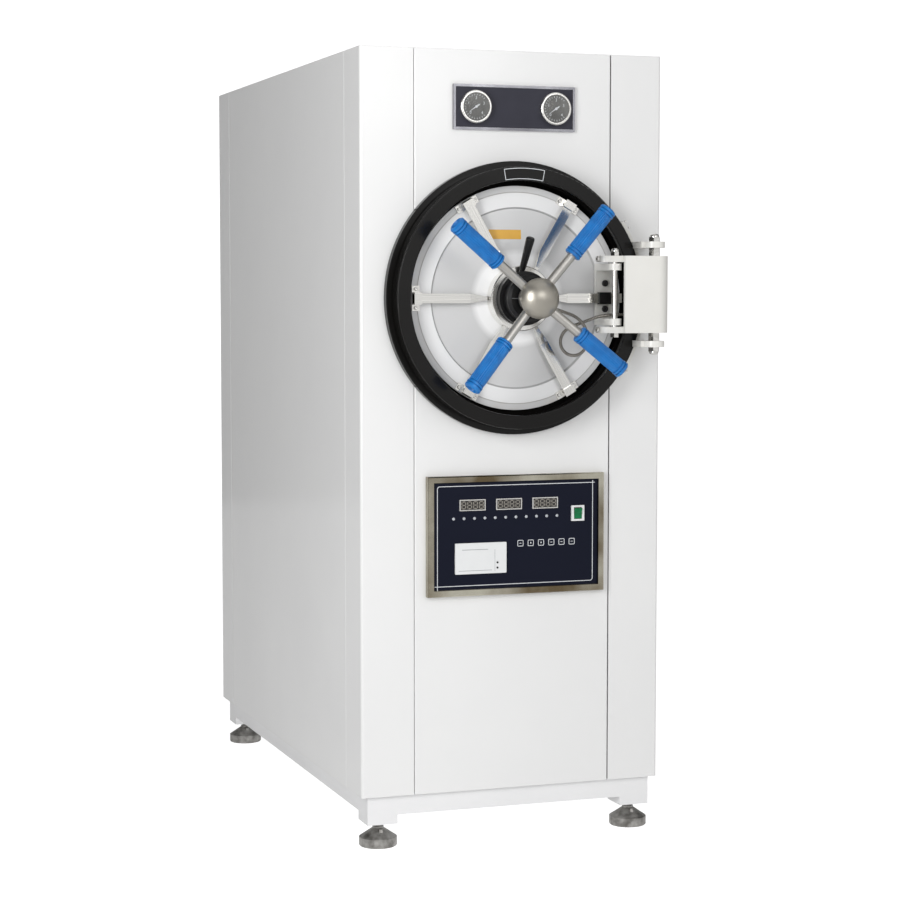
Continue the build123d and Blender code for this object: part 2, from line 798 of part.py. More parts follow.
# Door hinge bracket: a base on the disc's rim with two ears that reach forward to the inner pin.
ear_top = arm_top - arm_flange - bracket_ear_gap
ear_bottom = arm_bottom + arm_flange + bracket_ear_gap
with BuildPart() as door_hinge_bracket:
    with BuildSketch(door_face.offset(disc_front)):
        with Locations((bracket_base_left, ear_bottom)):
            Rectangle(bracket_base_right - bracket_base_left, ear_top - ear_bottom, align=(Align.MIN, Align.MIN))
    extrude(amount=bracket_base)
    with BuildSketch(plan(ear_bottom), plan(ear_top - bracket_ear)):
        with Locations((inner_pin_x, -hinge_setout)):
            Circle(arm_nose_radius)
        with BuildLine():
            Polyline(
                (bracket_base_left, -disc_front),
                (inner_pin_x - arm_nose_radius, -hinge_setout),
                (inner_pin_x + arm_nose_radius, -hinge_setout),
                (bracket_base_right, -disc_front - bracket_base),
                (bracket_base_right, -disc_front),
                close=True,
            )
        make_face()
    extrude(amount=bracket_ear)
    with BuildSketch(plan(ear_bottom)):
        with Locations((inner_pin_x, -hinge_setout)):
            Circle(inner_pin_radius + pin_hole_clearance)
    extrude(amount=ear_top - ear_bottom, mode=Mode.SUBTRACT)
save(door_hinge_bracket.part, "door_hinge_bracket")

# Ring hinge bracket: a band on the ring's body in front of its flange, and two ears, above and
# below the arm, that stand on the cabinet.
band_inner = ring_radius + band_clearance
band_outer = band_inner + band_thickness
flange_clear = ring_flange_radius + band_clearance
band_rear = ring_flange_thickness + band_clearance
upper_ear = arm_top + ear_gap
lower_ear = arm_bottom - ear_gap - ear_thickness
with BuildPart() as ring_hinge_bracket:
    with BuildSketch(door_face.offset(band_rear)):
        Circle(band_outer)
        Circle(band_inner, mode=Mode.SUBTRACT)
        with BuildLine(mode=Mode.PRIVATE) as wedge:
            Polyline(
                (0, 0),
                (2 * band_outer * cos(radians(band_half_angle)), 2 * band_outer * sin(radians(band_half_angle))),
                (2 * band_outer * cos(radians(band_half_angle)), -2 * band_outer * sin(radians(band_half_angle))),
                close=True,
            )
        make_face(wedge.edges(), mode=Mode.INTERSECT)
    extrude(amount=band_reach - band_rear)
    with BuildSketch(plan(upper_ear), plan(lower_ear)):
        with Locations((outer_pin_x, -hinge_setout)):
            Circle(ear_nose_radius)
        with Locations((ear_inner_x, 0)):
            Rectangle(outer_pin_x + ear_nose_radius - ear_inner_x, hinge_setout, align=(Align.MIN, Align.MAX))
    extrude(amount=ear_thickness)
    with BuildSketch(plan(lower_ear)):
        with Locations((outer_pin_x, -hinge_setout)):
            Circle(outer_pin_radius + pin_hole_clearance)
    extrude(amount=upper_ear + ear_thickness - lower_ear, mode=Mode.SUBTRACT)
    with BuildSketch(door_face):
        Circle(flange_clear)
    extrude(amount=band_rear, mode=Mode.SUBTRACT)
    with BuildSketch(door_face):
        Circle(band_inner)
    extrude(amount=ring_reach + band_clearance, mode=Mode.SUBTRACT)
save(ring_hinge_bracket.part, "ring_hinge_bracket")

# Outer hinge pin: a bolt through both ears and the arm, with spacer nuts between and domed nuts.
with BuildPart() as outer_hinge_pin:
    with BuildSketch(plan(lower_ear - nut_height)):
        with Locations((outer_pin_x, -hinge_setout)):
            Circle(outer_pin_radius)
    extrude(amount=upper_ear + ear_thickness + 2 * nut_height - lower_ear)
    with BuildSketch(plan(upper_ear + ear_thickness), plan(lower_ear - nut_height)):
        with Locations((outer_pin_x, -hinge_setout)):
            RegularPolygon(nut_radius, 6)
    extrude(amount=nut_height)
    with BuildSketch(plan(arm_top + running_gap), plan(lower_ear + ear_thickness)):
        with Locations((outer_pin_x, -hinge_setout)):
            RegularPolygon(nut_radius, 6)
    extrude(amount=ear_gap - running_gap)
    with BuildSketch(plan(upper_ear + ear_thickness + nut_height), plan(lower_ear - nut_height - nut_dome)):
        with Locations((outer_pin_x, -hinge_setout)):
            Circle(nut_dome_radius)
    extrude(amount=nut_dome)
    for dome_end in (outer_hinge_pin.faces().sort_by(Axis.Z)[-1], outer_hinge_pin.faces().sort_by(Axis.Z)[0]):
        fillet(dome_end.edges(), 0.8 * nut_dome)
save(outer_hinge_pin.part, "outer_hinge_pin")

# Conduit glands: one on the hub's pad and one inside the arm.
arm_pad = Plane(
    origin=(arm_pad_x, front_y - arm_gland_setout, axis_z - arm_gland_drop),
    x_dir=(0, 0, 1),
    z_dir=(-1, 0, 0),
)
with BuildPart() as conduit_glands:
    with BuildSketch(hub_pad.offset(hub_pad_reach), arm_pad):
        Circle(gland_radius)
    extrude(amount=gland_length)
save(conduit_glands.part, "conduit_glands")

# Sensor conduit: from the arm's gland, once round in a loop below the hinge, to the hub's gland.
# Each point is how far right, in front and above the door's axis it lies.
gland_tip = hub_pad_reach + gland_length
hub_lead = gland_tip + conduit_lead
conduit_route = [
    (arm_pad_x - gland_length, arm_gland_setout, -arm_gland_drop),
    (201, arm_gland_setout, -arm_gland_drop),
    (163, 82, -36),
    (127, 80, -49),
    (93, 78, -60),
    (76, 77, -77),
    (75, 77, -101),
    (91, 78, -118),
    (115, 80, -119),
    (132, 83, -102),
    (133, 87, -77),
    (122, 91, -53),
    (101, 92, -36),
    (hub_lead * cos(radians(hub_gland_angle)), hub_gland_setout, hub_lead * sin(radians(hub_gland_angle))),
    (gland_tip * cos(radians(hub_gland_angle)), hub_gland_setout, gland_tip * sin(radians(hub_gland_angle))),
]
conduit_points = [Vector(x, front_y - forward, axis_z + up) for x, forward, up in conduit_route]
runs = [b - a for a, b in zip(conduit_points, conduit_points[1:])]
bend_radii = [
    0.45 * min(a.length, b.length) / abs(sin(radians(a.get_angle(b) / 2)) / cos(radians(a.get_angle(b) / 2)))
    for a, b in zip(runs, runs[1:])
]
print("conduit bend radii", [round(radius, 1) for radius in bend_radii])
with BuildLine() as route:
    FilletPolyline(*conduit_points, radius=bend_radii)
conduit_path = route.wire()
with BuildPart() as sensor_conduit:
    with BuildSketch(Plane(origin=conduit_path @ 0, z_dir=conduit_path % 0)):
        Circle(conduit_diameter / 2)
    sweep(path=conduit_path)
tube_volume = pi * (conduit_diameter / 2) ** 2 * conduit_path.length
print("conduit length", round(conduit_path.length, 1), "volume ratio", round(sensor_conduit.part.volume / tube_volume, 4))
save(sensor_conduit.part, "sensor_conduit")

# Gauge plate: a shallow frame with a slate sheet, and two round gauges on it.
gauge_face = panel_face.offset(0).shift_origin((0, front_y, shell_bottom + gauge_plate_rise))
with BuildPart() as gauge_frame:
    with BuildSketch(gauge_face):
        Rectangle(gauge_plate_width, gauge_plate_height)
    extrude(amount=gauge_plate_reach)
    with BuildSketch(gauge_face.offset(gauge_plate_reach)):
        Rectangle(gauge_plate_width - 2 * gauge_plate_rim, gauge_plate_height - 2 * gauge_plate_rim)
    extrude(amount=-gauge_face_depth, mode=Mode.SUBTRACT)
save(gauge_frame.part, "gauge_frame")
slate_rear = gauge_plate_reach - gauge_face_depth
with BuildPart() as gauge_slate_plate:
    with BuildSketch(gauge_face.offset(slate_rear)):
        Rectangle(gauge_plate_width - 2 * gauge_plate_rim - 1, gauge_plate_height - 2 * gauge_plate_rim - 1)
    extrude(amount=gauge_slate)
save(gauge_slate_plate.part, "gauge_slate")
for gauge_name, gauge_x in (("left_gauge", -gauge_spread), ("right_gauge", gauge_spread)):
    with BuildPart() as gauge:
        with BuildSketch(gauge_face.offset(slate_rear + gauge_slate)):
            with Locations((gauge_x, 0)):
                Circle(gauge_radius)
        extrude(amount=gauge_height)
        fillet(gauge.faces().sort_by(Axis.Y)[0].edges(), 3.0)
        with BuildSketch(gauge_face.offset(slate_rear + gauge_slate + gauge_height)):
            with Locations((gauge_x, 0)):
                Circle(gauge_dial_radius)
        extrude(amount=-gauge_dial_depth, mode=Mode.SUBTRACT)
    save(gauge.part, gauge_name)

# Control panel: a raised steel surround with a fascia set in it, and what the fascia carries.
control_face = panel_face.shift_origin((control_shift, front_y, shell_bottom + control_rise))
fascia_rear = control_reach - control_recess
fascia_front = fascia_rear + fascia_thickness
switch_hole_width = rocker_width + 2 * rocker_clearance
switch_hole_height = rocker_height + 2 * rocker_clearance
with BuildPart() as control_surround:
    with BuildSketch(control_face):
        Rectangle(control_width, control_height)
    extrude(amount=control_reach)
    chamfer(control_surround.faces().sort_by(Axis.Y)[0].edges(), 2.0)
    with BuildSketch(control_face.offset(control_reach)):
        Rectangle(control_width - 2 * control_rim, control_height - 2 * control_rim)
    extrude(amount=-control_recess, mode=Mode.SUBTRACT)
save(control_surround.part, "control_surround")
with BuildPart() as control_fascia:
    with BuildSketch(control_face.offset(fascia_rear)):
        Rectangle(control_width - 2 * control_rim - 1, control_height - 2 * control_rim - 1)
        with Locations((switch_x, switch_rise)):
            Rectangle(switch_hole_width, switch_hole_height, mode=Mode.SUBTRACT)
    extrude(amount=fascia_thickness)
save(control_fascia.part, "control_fascia")
with BuildPart() as displays:
    with BuildSketch(control_face.offset(fascia_front)):
        for display_number in range(3):
            with Locations((display_left + display_number * display_pitch, display_rise)):
                Rectangle(display_width, display_height)
    extrude(amount=display_reach)
save(displays.part, "displays")
with BuildPart() as printer:
    with BuildSketch(control_face.offset(fascia_front)):
        with Locations((printer_x, printer_rise)):
            Rectangle(printer_width, printer_height)
    extrude(amount=printer_reach)
    fillet(printer.edges().filter_by(Axis.Y), 2.0)
save(printer.part, "printer")
with BuildPart() as switch_bezel:
    with BuildSketch(control_face.offset(fascia_front)):
        with Locations((switch_x, switch_rise)):
            Rectangle(switch_width, switch_height)
            Rectangle(switch_hole_width, switch_hole_height, mode=Mode.SUBTRACT)
    extrude(amount=switch_bezel_reach)
save(switch_bezel.part, "switch_bezel")

# Power rocker: two wings on a drum, on a pin across the switch. At rest it leans out at the top.
rocker_axis_setout = fascia_front + switch_bezel_reach - rocker_setback
rocker_lean = radians(rocker_tilt)
rocker_section = Plane(
    origin=(control_shift + switch_x, front_y - rocker_axis_setout, shell_bottom + control_rise + switch_rise),
    x_dir=(0, -sin(rocker_lean), cos(rocker_lean)),
    z_dir=(1, 0, 0),
)
half_rocker = rocker_height / 2 - 1
rocker_pin_length = switch_hole_width - 2 * rocker_pin_play
with BuildPart() as power_rocker:
    with BuildSketch(rocker_section.offset(-rocker_width / 2)):
        with BuildLine():
            Polyline(
                (-half_rocker, rocker_setback - 0.5),
                (half_rocker, rocker_setback - 0.5),
                (half_rocker, rocker_setback + 2),
                (0, rocker_setback + 1),
                (-half_rocker, rocker_setback + 2),
                close=True,
            )
        make_face()
        Circle(rocker_drum_radius)
    extrude(amount=rocker_width)
    with BuildSketch(rocker_section.offset(-rocker_pin_length / 2)):
        Circle(rocker_pin_radius)
    extrude(amount=rocker_pin_length)
save(power_rocker.part, "power_rocker")
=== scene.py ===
# %% [markdown]
# A horizontal autoclave, dressed in Blender. The solid model already gives every rigid shape in
# metres; this lesson adds the camera, the finishes and the small things that make it believable:
# screws, dials, printed lines, rubber grips and the ribbed conduit on the door. The front plane is
# read from the frame. The heights of the door's axis and of the cabinet's lower edge are the solid
# model's own.

# %% Load the frame
from math import atan2, cos, degrees, pi, radians, sin

import bpy
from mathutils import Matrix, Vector


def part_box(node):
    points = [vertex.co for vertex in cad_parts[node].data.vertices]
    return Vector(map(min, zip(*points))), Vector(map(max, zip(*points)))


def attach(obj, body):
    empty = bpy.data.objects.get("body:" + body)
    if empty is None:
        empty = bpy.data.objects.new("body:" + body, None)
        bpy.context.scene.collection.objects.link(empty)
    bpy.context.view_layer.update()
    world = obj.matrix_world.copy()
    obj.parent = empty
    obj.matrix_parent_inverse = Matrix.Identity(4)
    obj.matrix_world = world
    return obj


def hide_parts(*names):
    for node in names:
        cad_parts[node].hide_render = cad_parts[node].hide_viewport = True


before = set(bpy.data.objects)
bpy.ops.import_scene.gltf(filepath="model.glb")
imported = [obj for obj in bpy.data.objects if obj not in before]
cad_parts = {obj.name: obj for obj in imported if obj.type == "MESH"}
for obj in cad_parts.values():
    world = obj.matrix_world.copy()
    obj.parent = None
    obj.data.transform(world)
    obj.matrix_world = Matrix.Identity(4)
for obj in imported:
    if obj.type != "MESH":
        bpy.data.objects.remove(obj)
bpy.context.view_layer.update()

bpy.ops.object.select_all(action="DESELECT")
front_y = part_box("front_left_post")[0][1]
axis_z = 1.148
shell_bottom = 0.111
print("front plane", round(front_y, 5), "nodes", len(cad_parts))

# %% [markdown]
# The camera comes first, because every later choice is judged through it. Its place and lens were
# fitted to the photograph: a long lens, a little left of the machine and just above the door's
# axis, turned to the right and slightly down.

# %% Camera
camera_distance = 4.35
down_degrees, right_degrees = 4.065, 19.21
bpy.ops.object.camera_add(location=(-1.6561, -camera_distance + front_y, 1.1602))
camera = bpy.context.object
camera.name = "studio_camera"
camera.rotation_euler = (radians(90 - down_degrees), 0, radians(-right_degrees))
camera.data.lens = 88.684
camera.data.sensor_width = 36
camera.data.clip_end = 60
bpy.context.scene.camera = camera
print("camera", tuple(round(v, 3) for v in camera.location))

# %% [markdown]
# The conduit is a free flexible line, so its route is a smooth NURBS curve through the same points
# as the solid: out of the gland inside the hinge arm, once round in a loop and back to the hub. A
# round bevel turns the line into a tube, and the tube is made a mesh. The line itself is first
# read into a mesh without a bevel, and that mesh is removed again.

# %% Conduit
gland_tip = 0.064
gland_lead = 0.084
gland_angle = radians(-20)
conduit_radius = 0.00325
conduit_route = [
    (0.229, 0.084, -0.034),
    (0.201, 0.084, -0.034),
    (0.163, 0.082, -0.036),
    (0.127, 0.080, -0.049),
    (0.093, 0.078, -0.060),
    (0.076, 0.077, -0.077),
    (0.075, 0.077, -0.101),
    (0.091, 0.078, -0.118),
    (0.115, 0.080, -0.119),
    (0.132, 0.083, -0.102),
    (0.133, 0.087, -0.077),
    (0.122, 0.091, -0.053),
    (0.101, 0.092, -0.036),
    (gland_lead * cos(gland_angle), 0.088, gland_lead * sin(gland_angle)),
    (gland_tip * cos(gland_angle), 0.088, gland_tip * sin(gland_angle)),
]
line = bpy.data.curves.new("sensor_conduit_line", "CURVE")
line.dimensions = "3D"
line.resolution_u = 24
spline = line.splines.new("NURBS")
spline.points.add(len(conduit_route) - 1)
for point, (x, forward, up) in zip(spline.points, conduit_route):
    point.co = (x, front_y - forward, axis_z + up, 1)
spline.order_u = 3
spline.use_endpoint_u = True
conduit = bpy.data.objects.new("ribbed_conduit", line)
bpy.context.collection.objects.link(conduit)
thread = bpy.data.meshes.new_from_object(conduit)
bpy.data.meshes.remove(thread)
line.bevel_depth = conduit_radius
line.bevel_resolution = 5
bpy.context.view_layer.objects.active = conduit
conduit.select_set(True)
bpy.ops.object.convert(target="MESH")
bpy.ops.object.select_all(action="DESELECT")
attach(conduit, "door")
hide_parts("sensor_conduit")
print("conduit points", len(conduit_route), "faces", len(conduit.data.polygons))

# %% [markdown]
# Two effects return in several finishes, so each is a node group, built once. Sprayed paint gives
# a fine ripple, which is its orange peel, and a slow cloud that makes gloss and colour uneven.
# Turned grain gives the fine rings that a lathe leaves round the door's axis, or the straight
# strokes of a brushed bar, which run out along the radius. It also gives that radius, for painting
# in zones.

# %% Helpers for node groups
def new_group(name, inputs, outputs):
    """An empty node group with its inputs, given with their values, and its outputs."""
    group = bpy.data.node_groups.new(name, "ShaderNodeTree")
    for socket_name, value in inputs:
        socket = group.interface.new_socket(
            name=socket_name, in_out="INPUT", socket_type="NodeSocketFloat"
        )
        socket.default_value = value
    for socket_name in outputs:
        group.interface.new_socket(
            name=socket_name, in_out="OUTPUT", socket_type="NodeSocketFloat"
        )
    nodes = group.nodes
    return group, nodes, nodes.new("NodeGroupInput"), nodes.new("NodeGroupOutput")


def noise(nodes, links, vector, scale, detail=3.0):
    """A noise texture that reads its place from a vector."""
    node = nodes.new("ShaderNodeTexNoise")
    node.inputs["Scale"].default_value = scale
    node.inputs["Detail"].default_value = detail
    links.new(vector, node.inputs["Vector"])
    return node


def math_node(nodes, links, operation, first, second=0.5):
    """One sum on two numbers or sockets."""
    node = nodes.new("ShaderNodeMath")
    node.operation = operation
    for socket, value in zip(node.inputs, (first, second)):
        if isinstance(value, (int, float)):
            socket.default_value = value
        else:
            links.new(value, socket)
    return node.outputs[0]


# %% The paint group
paint_group, nodes, group_in, group_out = new_group(
    "sprayed_paint", [("Ripple Scale", 260.0), ("Cloud Scale", 3.0)], ["Ripple", "Cloud"]
)
position = nodes.new("ShaderNodeTexCoord").outputs["Object"]
ripple = noise(nodes, paint_group.links, position, 260.0, 1.0)
cloud = noise(nodes, paint_group.links, position, 3.0, 4.0)
paint_group.links.new(group_in.outputs["Ripple Scale"], ripple.inputs["Scale"])
paint_group.links.new(group_in.outputs["Cloud Scale"], cloud.inputs["Scale"])
paint_group.links.new(ripple.outputs[0], group_out.inputs["Ripple"])
paint_group.links.new(cloud.outputs[0], group_out.inputs["Cloud"])

# %% The turned grain group
grain_group, nodes, group_in, group_out = new_group(
    "turned_grain",
    [("Rings", 900.0), ("Strokes", 160.0)],
    ["Ring Grain", "Stroke Grain", "Radius"],
)
links = grain_group.links
position = nodes.new("ShaderNodeTexCoord").outputs["Object"]
parts = nodes.new("ShaderNodeSeparateXYZ")
links.new(position, parts.inputs[0])
height = math_node(nodes, links, "SUBTRACT", parts.outputs["Z"], axis_z)
across = math_node(nodes, links, "POWER", parts.outputs["X"], 2.0)
upward = math_node(nodes, links, "POWER", height, 2.0)
radius = math_node(nodes, links, "SQRT", math_node(nodes, links, "ADD", across, upward), 0)
turn = math_node(nodes, links, "ARCTAN2", height, parts.outputs["X"])
ring_place = nodes.new("ShaderNodeCombineXYZ")
ring_count = math_node(nodes, links, "MULTIPLY", radius, group_in.outputs["Rings"])
links.new(ring_count, ring_place.inputs[0])
stroke_place = nodes.new("ShaderNodeCombineXYZ")
stroke_count = math_node(nodes, links, "MULTIPLY", turn, group_in.outputs["Strokes"])
links.new(stroke_count, stroke_place.inputs[0])
links.new(math_node(nodes, links, "MULTIPLY", radius, 4.0), stroke_place.inputs[1])
links.new(math_node(nodes, links, "MULTIPLY", parts.outputs["Y"], 400.0), stroke_place.inputs[2])
for pattern_place, name in ((ring_place, "Ring Grain"), (stroke_place, "Stroke Grain")):
    grain = noise(nodes, links, pattern_place.outputs[0], 1.0)
    links.new(grain.outputs[0], group_out.inputs[name])
links.new(radius, group_out.inputs["Radius"])
print("groups", [group.name for group in bpy.data.node_groups])

# %% [markdown]
# A finish starts from one Principled shader. Its constants sit on the shader's own sockets, and
# what changes over the surface comes from a group through a ramp. The helpers below make the
# shader, spread a value between two limits, mix two colours by a mask and add a fine relief.

# %% Helpers for finishes
def finish(name, color, roughness, metallic=0.0, coat=0.0, specular=0.5):
    """A new material with its plain values."""
    material = bpy.data.materials.new(name)
    material.use_nodes = True
    shader = material.node_tree.nodes["Principled BSDF"]
    shader.inputs["Base Color"].default_value = (*color, 1)
    shader.inputs["Roughness"].default_value = roughness
    shader.inputs["Metallic"].default_value = metallic
    shader.inputs["Coat Weight"].default_value = coat
    shader.inputs["Coat Roughness"].default_value = 0.1
    shader.inputs["Specular IOR Level"].default_value = specular
    return material


def tree_of(material):
    """A material's nodes, its links and its shader."""
    nodes, links = material.node_tree.nodes, material.node_tree.links
    return nodes, links, nodes["Principled BSDF"]


def use_group(material, group, **values):
    """Places a group in a material, with the material's own values."""
    node = material.node_tree.nodes.new("ShaderNodeGroup")
    node.node_tree = group
    for name, value in values.items():
        node.inputs[name.replace("_", " ")].default_value = value
    return node


range_names = ("From Min", "From Max", "To Min", "To Max")


def spread(material, mask, low, high, start=0.3, stop=0.7):
    """Turns a mask that runs from start to stop into a value that runs from low to high."""
    node = material.node_tree.nodes.new("ShaderNodeMapRange")
    for name, value in zip(range_names, (start, stop, low, high)):
        node.inputs[name].default_value = value
    material.node_tree.links.new(mask, node.inputs["Value"])
    return node.outputs["Result"]


def mix_colors(material, mask, first, second):
    """The first colour where the mask is 0 and the second where it is 1."""
    node = material.node_tree.nodes.new("ShaderNodeMix")
    node.data_type = "RGBA"
    material.node_tree.links.new(mask, node.inputs["Factor"])
    for socket, value in ((node.inputs["A"], first), (node.inputs["B"], second)):
        if isinstance(value, tuple):
            socket.default_value = (*value, 1)
        else:
            material.node_tree.links.new(value, socket)
    return node.outputs["Result"]


def relief(material, mask, depth):
    """A fine relief whose height follows a mask."""
    nodes, links, shader = tree_of(material)
    bump = nodes.new("ShaderNodeBump")
    bump.inputs["Strength"].default_value = 1.0
    bump.inputs["Distance"].default_value = depth
    links.new(mask, bump.inputs["Height"])
    links.new(bump.outputs["Normal"], shader.inputs["Normal"])


def sprayed(
    name, color, shade, roughness, coat, ripple_depth=0.00006, cloud_scale=3.0, specular=0.5
):
    """Sprayed paint: a colour that drifts towards a shade, uneven gloss and orange peel."""
    material = finish(name, color, roughness, coat=coat, specular=specular)
    _, links, shader = tree_of(material)
    effect = use_group(material, paint_group, Cloud_Scale=cloud_scale)
    cloud = effect.outputs["Cloud"]
    drift = spread(material, cloud, 0.0, 1.0, 0.1, 0.9)
    links.new(mix_colors(material, drift, color, shade), shader.inputs["Base Color"])
    gloss = spread(material, cloud, roughness * 0.8, roughness * 1.25, 0.1, 0.9)
    links.new(gloss, shader.inputs["Roughness"])
    relief(material, effect.outputs["Ripple"], ripple_depth)
    return material


def machined(name, color, shade, roughness, grain, rings=900.0, strokes=160.0, depth=0.00002):
    """Bright metal with ring grain or stroke grain about the door's axis."""
    material = finish(name, color, roughness, metallic=1.0)
    _, links, shader = tree_of(material)
    mask = use_group(material, grain_group, Rings=rings, Strokes=strokes).outputs[grain]
    tone = spread(material, mask, 0.0, 1.0)
    links.new(mix_colors(material, tone, color, shade), shader.inputs["Base Color"])
    gloss = spread(material, mask, roughness * 0.75, roughness * 1.35)
    links.new(gloss, shader.inputs["Roughness"])
    relief(material, mask, depth)
    return material


# %% [markdown]
# The painted parts: the cabinet is glossy off-white, its base the same paint a little duller, the
# hinge castings a warmer white, and the lock ring thick black enamel that mirrors the lamps.

# %% Painted finishes
cabinet_paint = sprayed("cabinet_paint", (0.81, 0.81, 0.805), (0.76, 0.76, 0.76), 0.37, 0.5)
base_paint = sprayed(
    "base_paint", (0.82, 0.82, 0.825), (0.77, 0.77, 0.775), 0.4, 0.25, 0.0001, 9.0
)
hinge_paint = sprayed(
    "hinge_paint", (0.80, 0.79, 0.755), (0.74, 0.73, 0.69), 0.36, 0.4, 0.00012, 14.0
)
ring_enamel = sprayed(
    "ring_enamel", (0.005, 0.0046, 0.0043), (0.008, 0.0075, 0.007), 0.15, 0.05, 0.00005, 8.0, 0.22
)
stand_paint = sprayed(
    "stand_paint", (0.10, 0.105, 0.11), (0.07, 0.07, 0.075), 0.5, 0.0, 0.0001, 12.0
)
slate_paint = sprayed(
    "slate_paint", (0.036, 0.036, 0.050), (0.031, 0.031, 0.043), 0.45, 0.0, 0.00002, 30.0, 0.2
)
fascia_film = sprayed(
    "fascia_film", (0.0045, 0.0060, 0.0155), (0.0055, 0.0072, 0.0175),
    0.36, 0.0, 0.00001, 2.5, 0.12,
)

# %% [markdown]
# The door disc is pale grey paint. Its turned zones differ: the dished field is greyer than the
# flat rim, the foot of the hub is brighter, a painted highlight, and the step and the line near
# the edge are darker, painted shade. Each zone is a mask on the radius. Near the rim, where the
# bars and the seal have touched the paint for years, a brown stain shows in blotches.

# %% Door paint
door_paint = finish("door_paint", (0.60, 0.60, 0.60), 0.28, coat=0.4)
nodes, links, shader = tree_of(door_paint)
rings = use_group(door_paint, grain_group)
cloud = use_group(door_paint, paint_group, Cloud_Scale=22.0, Ripple_Scale=300.0)
distance = rings.outputs["Radius"]


def band(material, start, stop, blur):
    """A mask that is 1 between two radii and falls off to both sides."""
    nodes, links, _ = tree_of(material)
    inside = spread(material, distance, 0.0, 1.0, start - blur, start)
    outside = spread(material, distance, 1.0, 0.0, stop, stop + blur)
    return math_node(nodes, links, "MULTIPLY", inside, outside)


zones = (0.60, 0.60, 0.60)
for start_radius, stop_radius, blur, tone in (
    (0.188, 0.2195, 0.002, (0.80, 0.80, 0.80)),  # flat rim
    (0.0, 0.090, 0.014, (0.87, 0.87, 0.87)),  # painted highlight at the foot of the hub
    (0.1865, 0.1885, 0.0015, (0.42, 0.42, 0.42)),  # painted shade in the step
    (0.2195, 0.2205, 0.001, (0.46, 0.45, 0.44)),  # painted shade in the line near the edge
):
    zone = band(door_paint, start_radius, stop_radius, blur)
    zones = mix_colors(door_paint, zone, zones, tone)
near_rim = spread(door_paint, distance, 0.0, 1.0, 0.215, 0.233)
blotch = spread(door_paint, cloud.outputs["Cloud"], 0.0, 0.25, 0.55, 0.75)
stain = math_node(nodes, links, "MULTIPLY", near_rim, blotch)
links.new(mix_colors(door_paint, stain, zones, (0.40, 0.33, 0.22)), shader.inputs["Base Color"])
gloss = spread(door_paint, cloud.outputs["Cloud"], 0.285, 0.34)
links.new(gloss, shader.inputs["Roughness"])
relief(door_paint, cloud.outputs["Ripple"], 0.00008)

# %% [markdown]
# Bare steel: the bars and spokes are brushed along their length, which is along the radius, and
# the nuts have coarser strokes. The collar, the gauges' rims and the cap are turned. The chamber
# is turned too; outside its seal it is black, painted shade for the dark gap behind the ring. Feet
# are castings, and the trim round the two panels is stainless sheet with patches of tarnish.

# %% Metal finishes
brushed_bar = machined(
    "brushed_bar", (0.90, 0.89, 0.86), (0.66, 0.65, 0.62), 0.15, "Stroke Grain", strokes=260.0
)
turned_steel = machined("turned_steel", (0.92, 0.91, 0.88), (0.76, 0.75, 0.72), 0.2, "Ring Grain")
cap_steel = machined(
    "cap_steel", (0.54, 0.51, 0.45), (0.34, 0.32, 0.28), 0.37, "Ring Grain", rings=1300.0
)
spoke_steel = machined(
    "spoke_steel", (0.62, 0.60, 0.57), (0.42, 0.41, 0.38), 0.38, "Stroke Grain", strokes=260.0
)
nut_steel = machined(
    "nut_steel", (0.80, 0.79, 0.77), (0.62, 0.61, 0.58), 0.12, "Stroke Grain", strokes=60.0
)
chamber_metal = machined(
    "chamber_metal", (0.70, 0.70, 0.69), (0.56, 0.56, 0.55), 0.42, "Ring Grain", rings=500.0
)
_, links, shader = tree_of(chamber_metal)
bare_steel = shader.inputs["Base Color"].links[0].from_socket
# Beyond the seal the chamber's rim is coloured near black: painted shade standing in for the
# shadow in the gap behind the ring.
seal_radius, seal_blur = 0.2300, 0.0006
from_axis = use_group(chamber_metal, grain_group).outputs["Radius"]
shaded_beyond_seal = spread(
    chamber_metal, from_axis, 0.0, 1.0, seal_radius, seal_radius + seal_blur
)
painted = mix_colors(chamber_metal, shaded_beyond_seal, bare_steel, (0.006, 0.0055, 0.005))
links.new(painted, shader.inputs["Base Color"])


def polished(name, bright, tarnish, scale):
    """Stainless sheet with slow patches of tarnish and a fine uneven polish."""
    sheet = finish(name, bright, 0.22, metallic=1.0)
    _, links, shader = tree_of(sheet)
    patches = use_group(sheet, paint_group, Cloud_Scale=scale, Ripple_Scale=700.0)
    tone = spread(sheet, patches.outputs["Cloud"], 0.0, 1.0, 0.38, 0.62)
    links.new(mix_colors(sheet, tone, bright, tarnish), shader.inputs["Base Color"])
    links.new(spread(sheet, patches.outputs["Ripple"], 0.15, 0.27), shader.inputs["Roughness"])
    return sheet


trim_metal = polished("trim_metal", (0.58, 0.555, 0.46), (0.17, 0.13, 0.075), 5.5)
plate_metal = polished("plate_metal", (0.38, 0.38, 0.41), (0.20, 0.20, 0.22), 9.0)

foot_metal = finish("foot_metal", (0.30, 0.29, 0.275), 0.35, metallic=0.9)
_, links, shader = tree_of(foot_metal)
cloud = use_group(foot_metal, paint_group, Cloud_Scale=60.0, Ripple_Scale=900.0)
tone = spread(foot_metal, cloud.outputs["Cloud"], 0.0, 1.0)
iron = mix_colors(foot_metal, tone, (0.17, 0.162, 0.15), (0.46, 0.45, 0.43))
links.new(iron, shader.inputs["Base Color"])
links.new(spread(foot_metal, cloud.outputs["Ripple"], 0.29, 0.42), shader.inputs["Roughness"])
relief(foot_metal, cloud.outputs["Ripple"], 0.00018)

# %% [markdown]
# Plastics and rubber: the hub cover and lever are black phenolic, the grips blue rubber, and the
# small parts of the panel are plain moulded plastic with a fine spark texture.

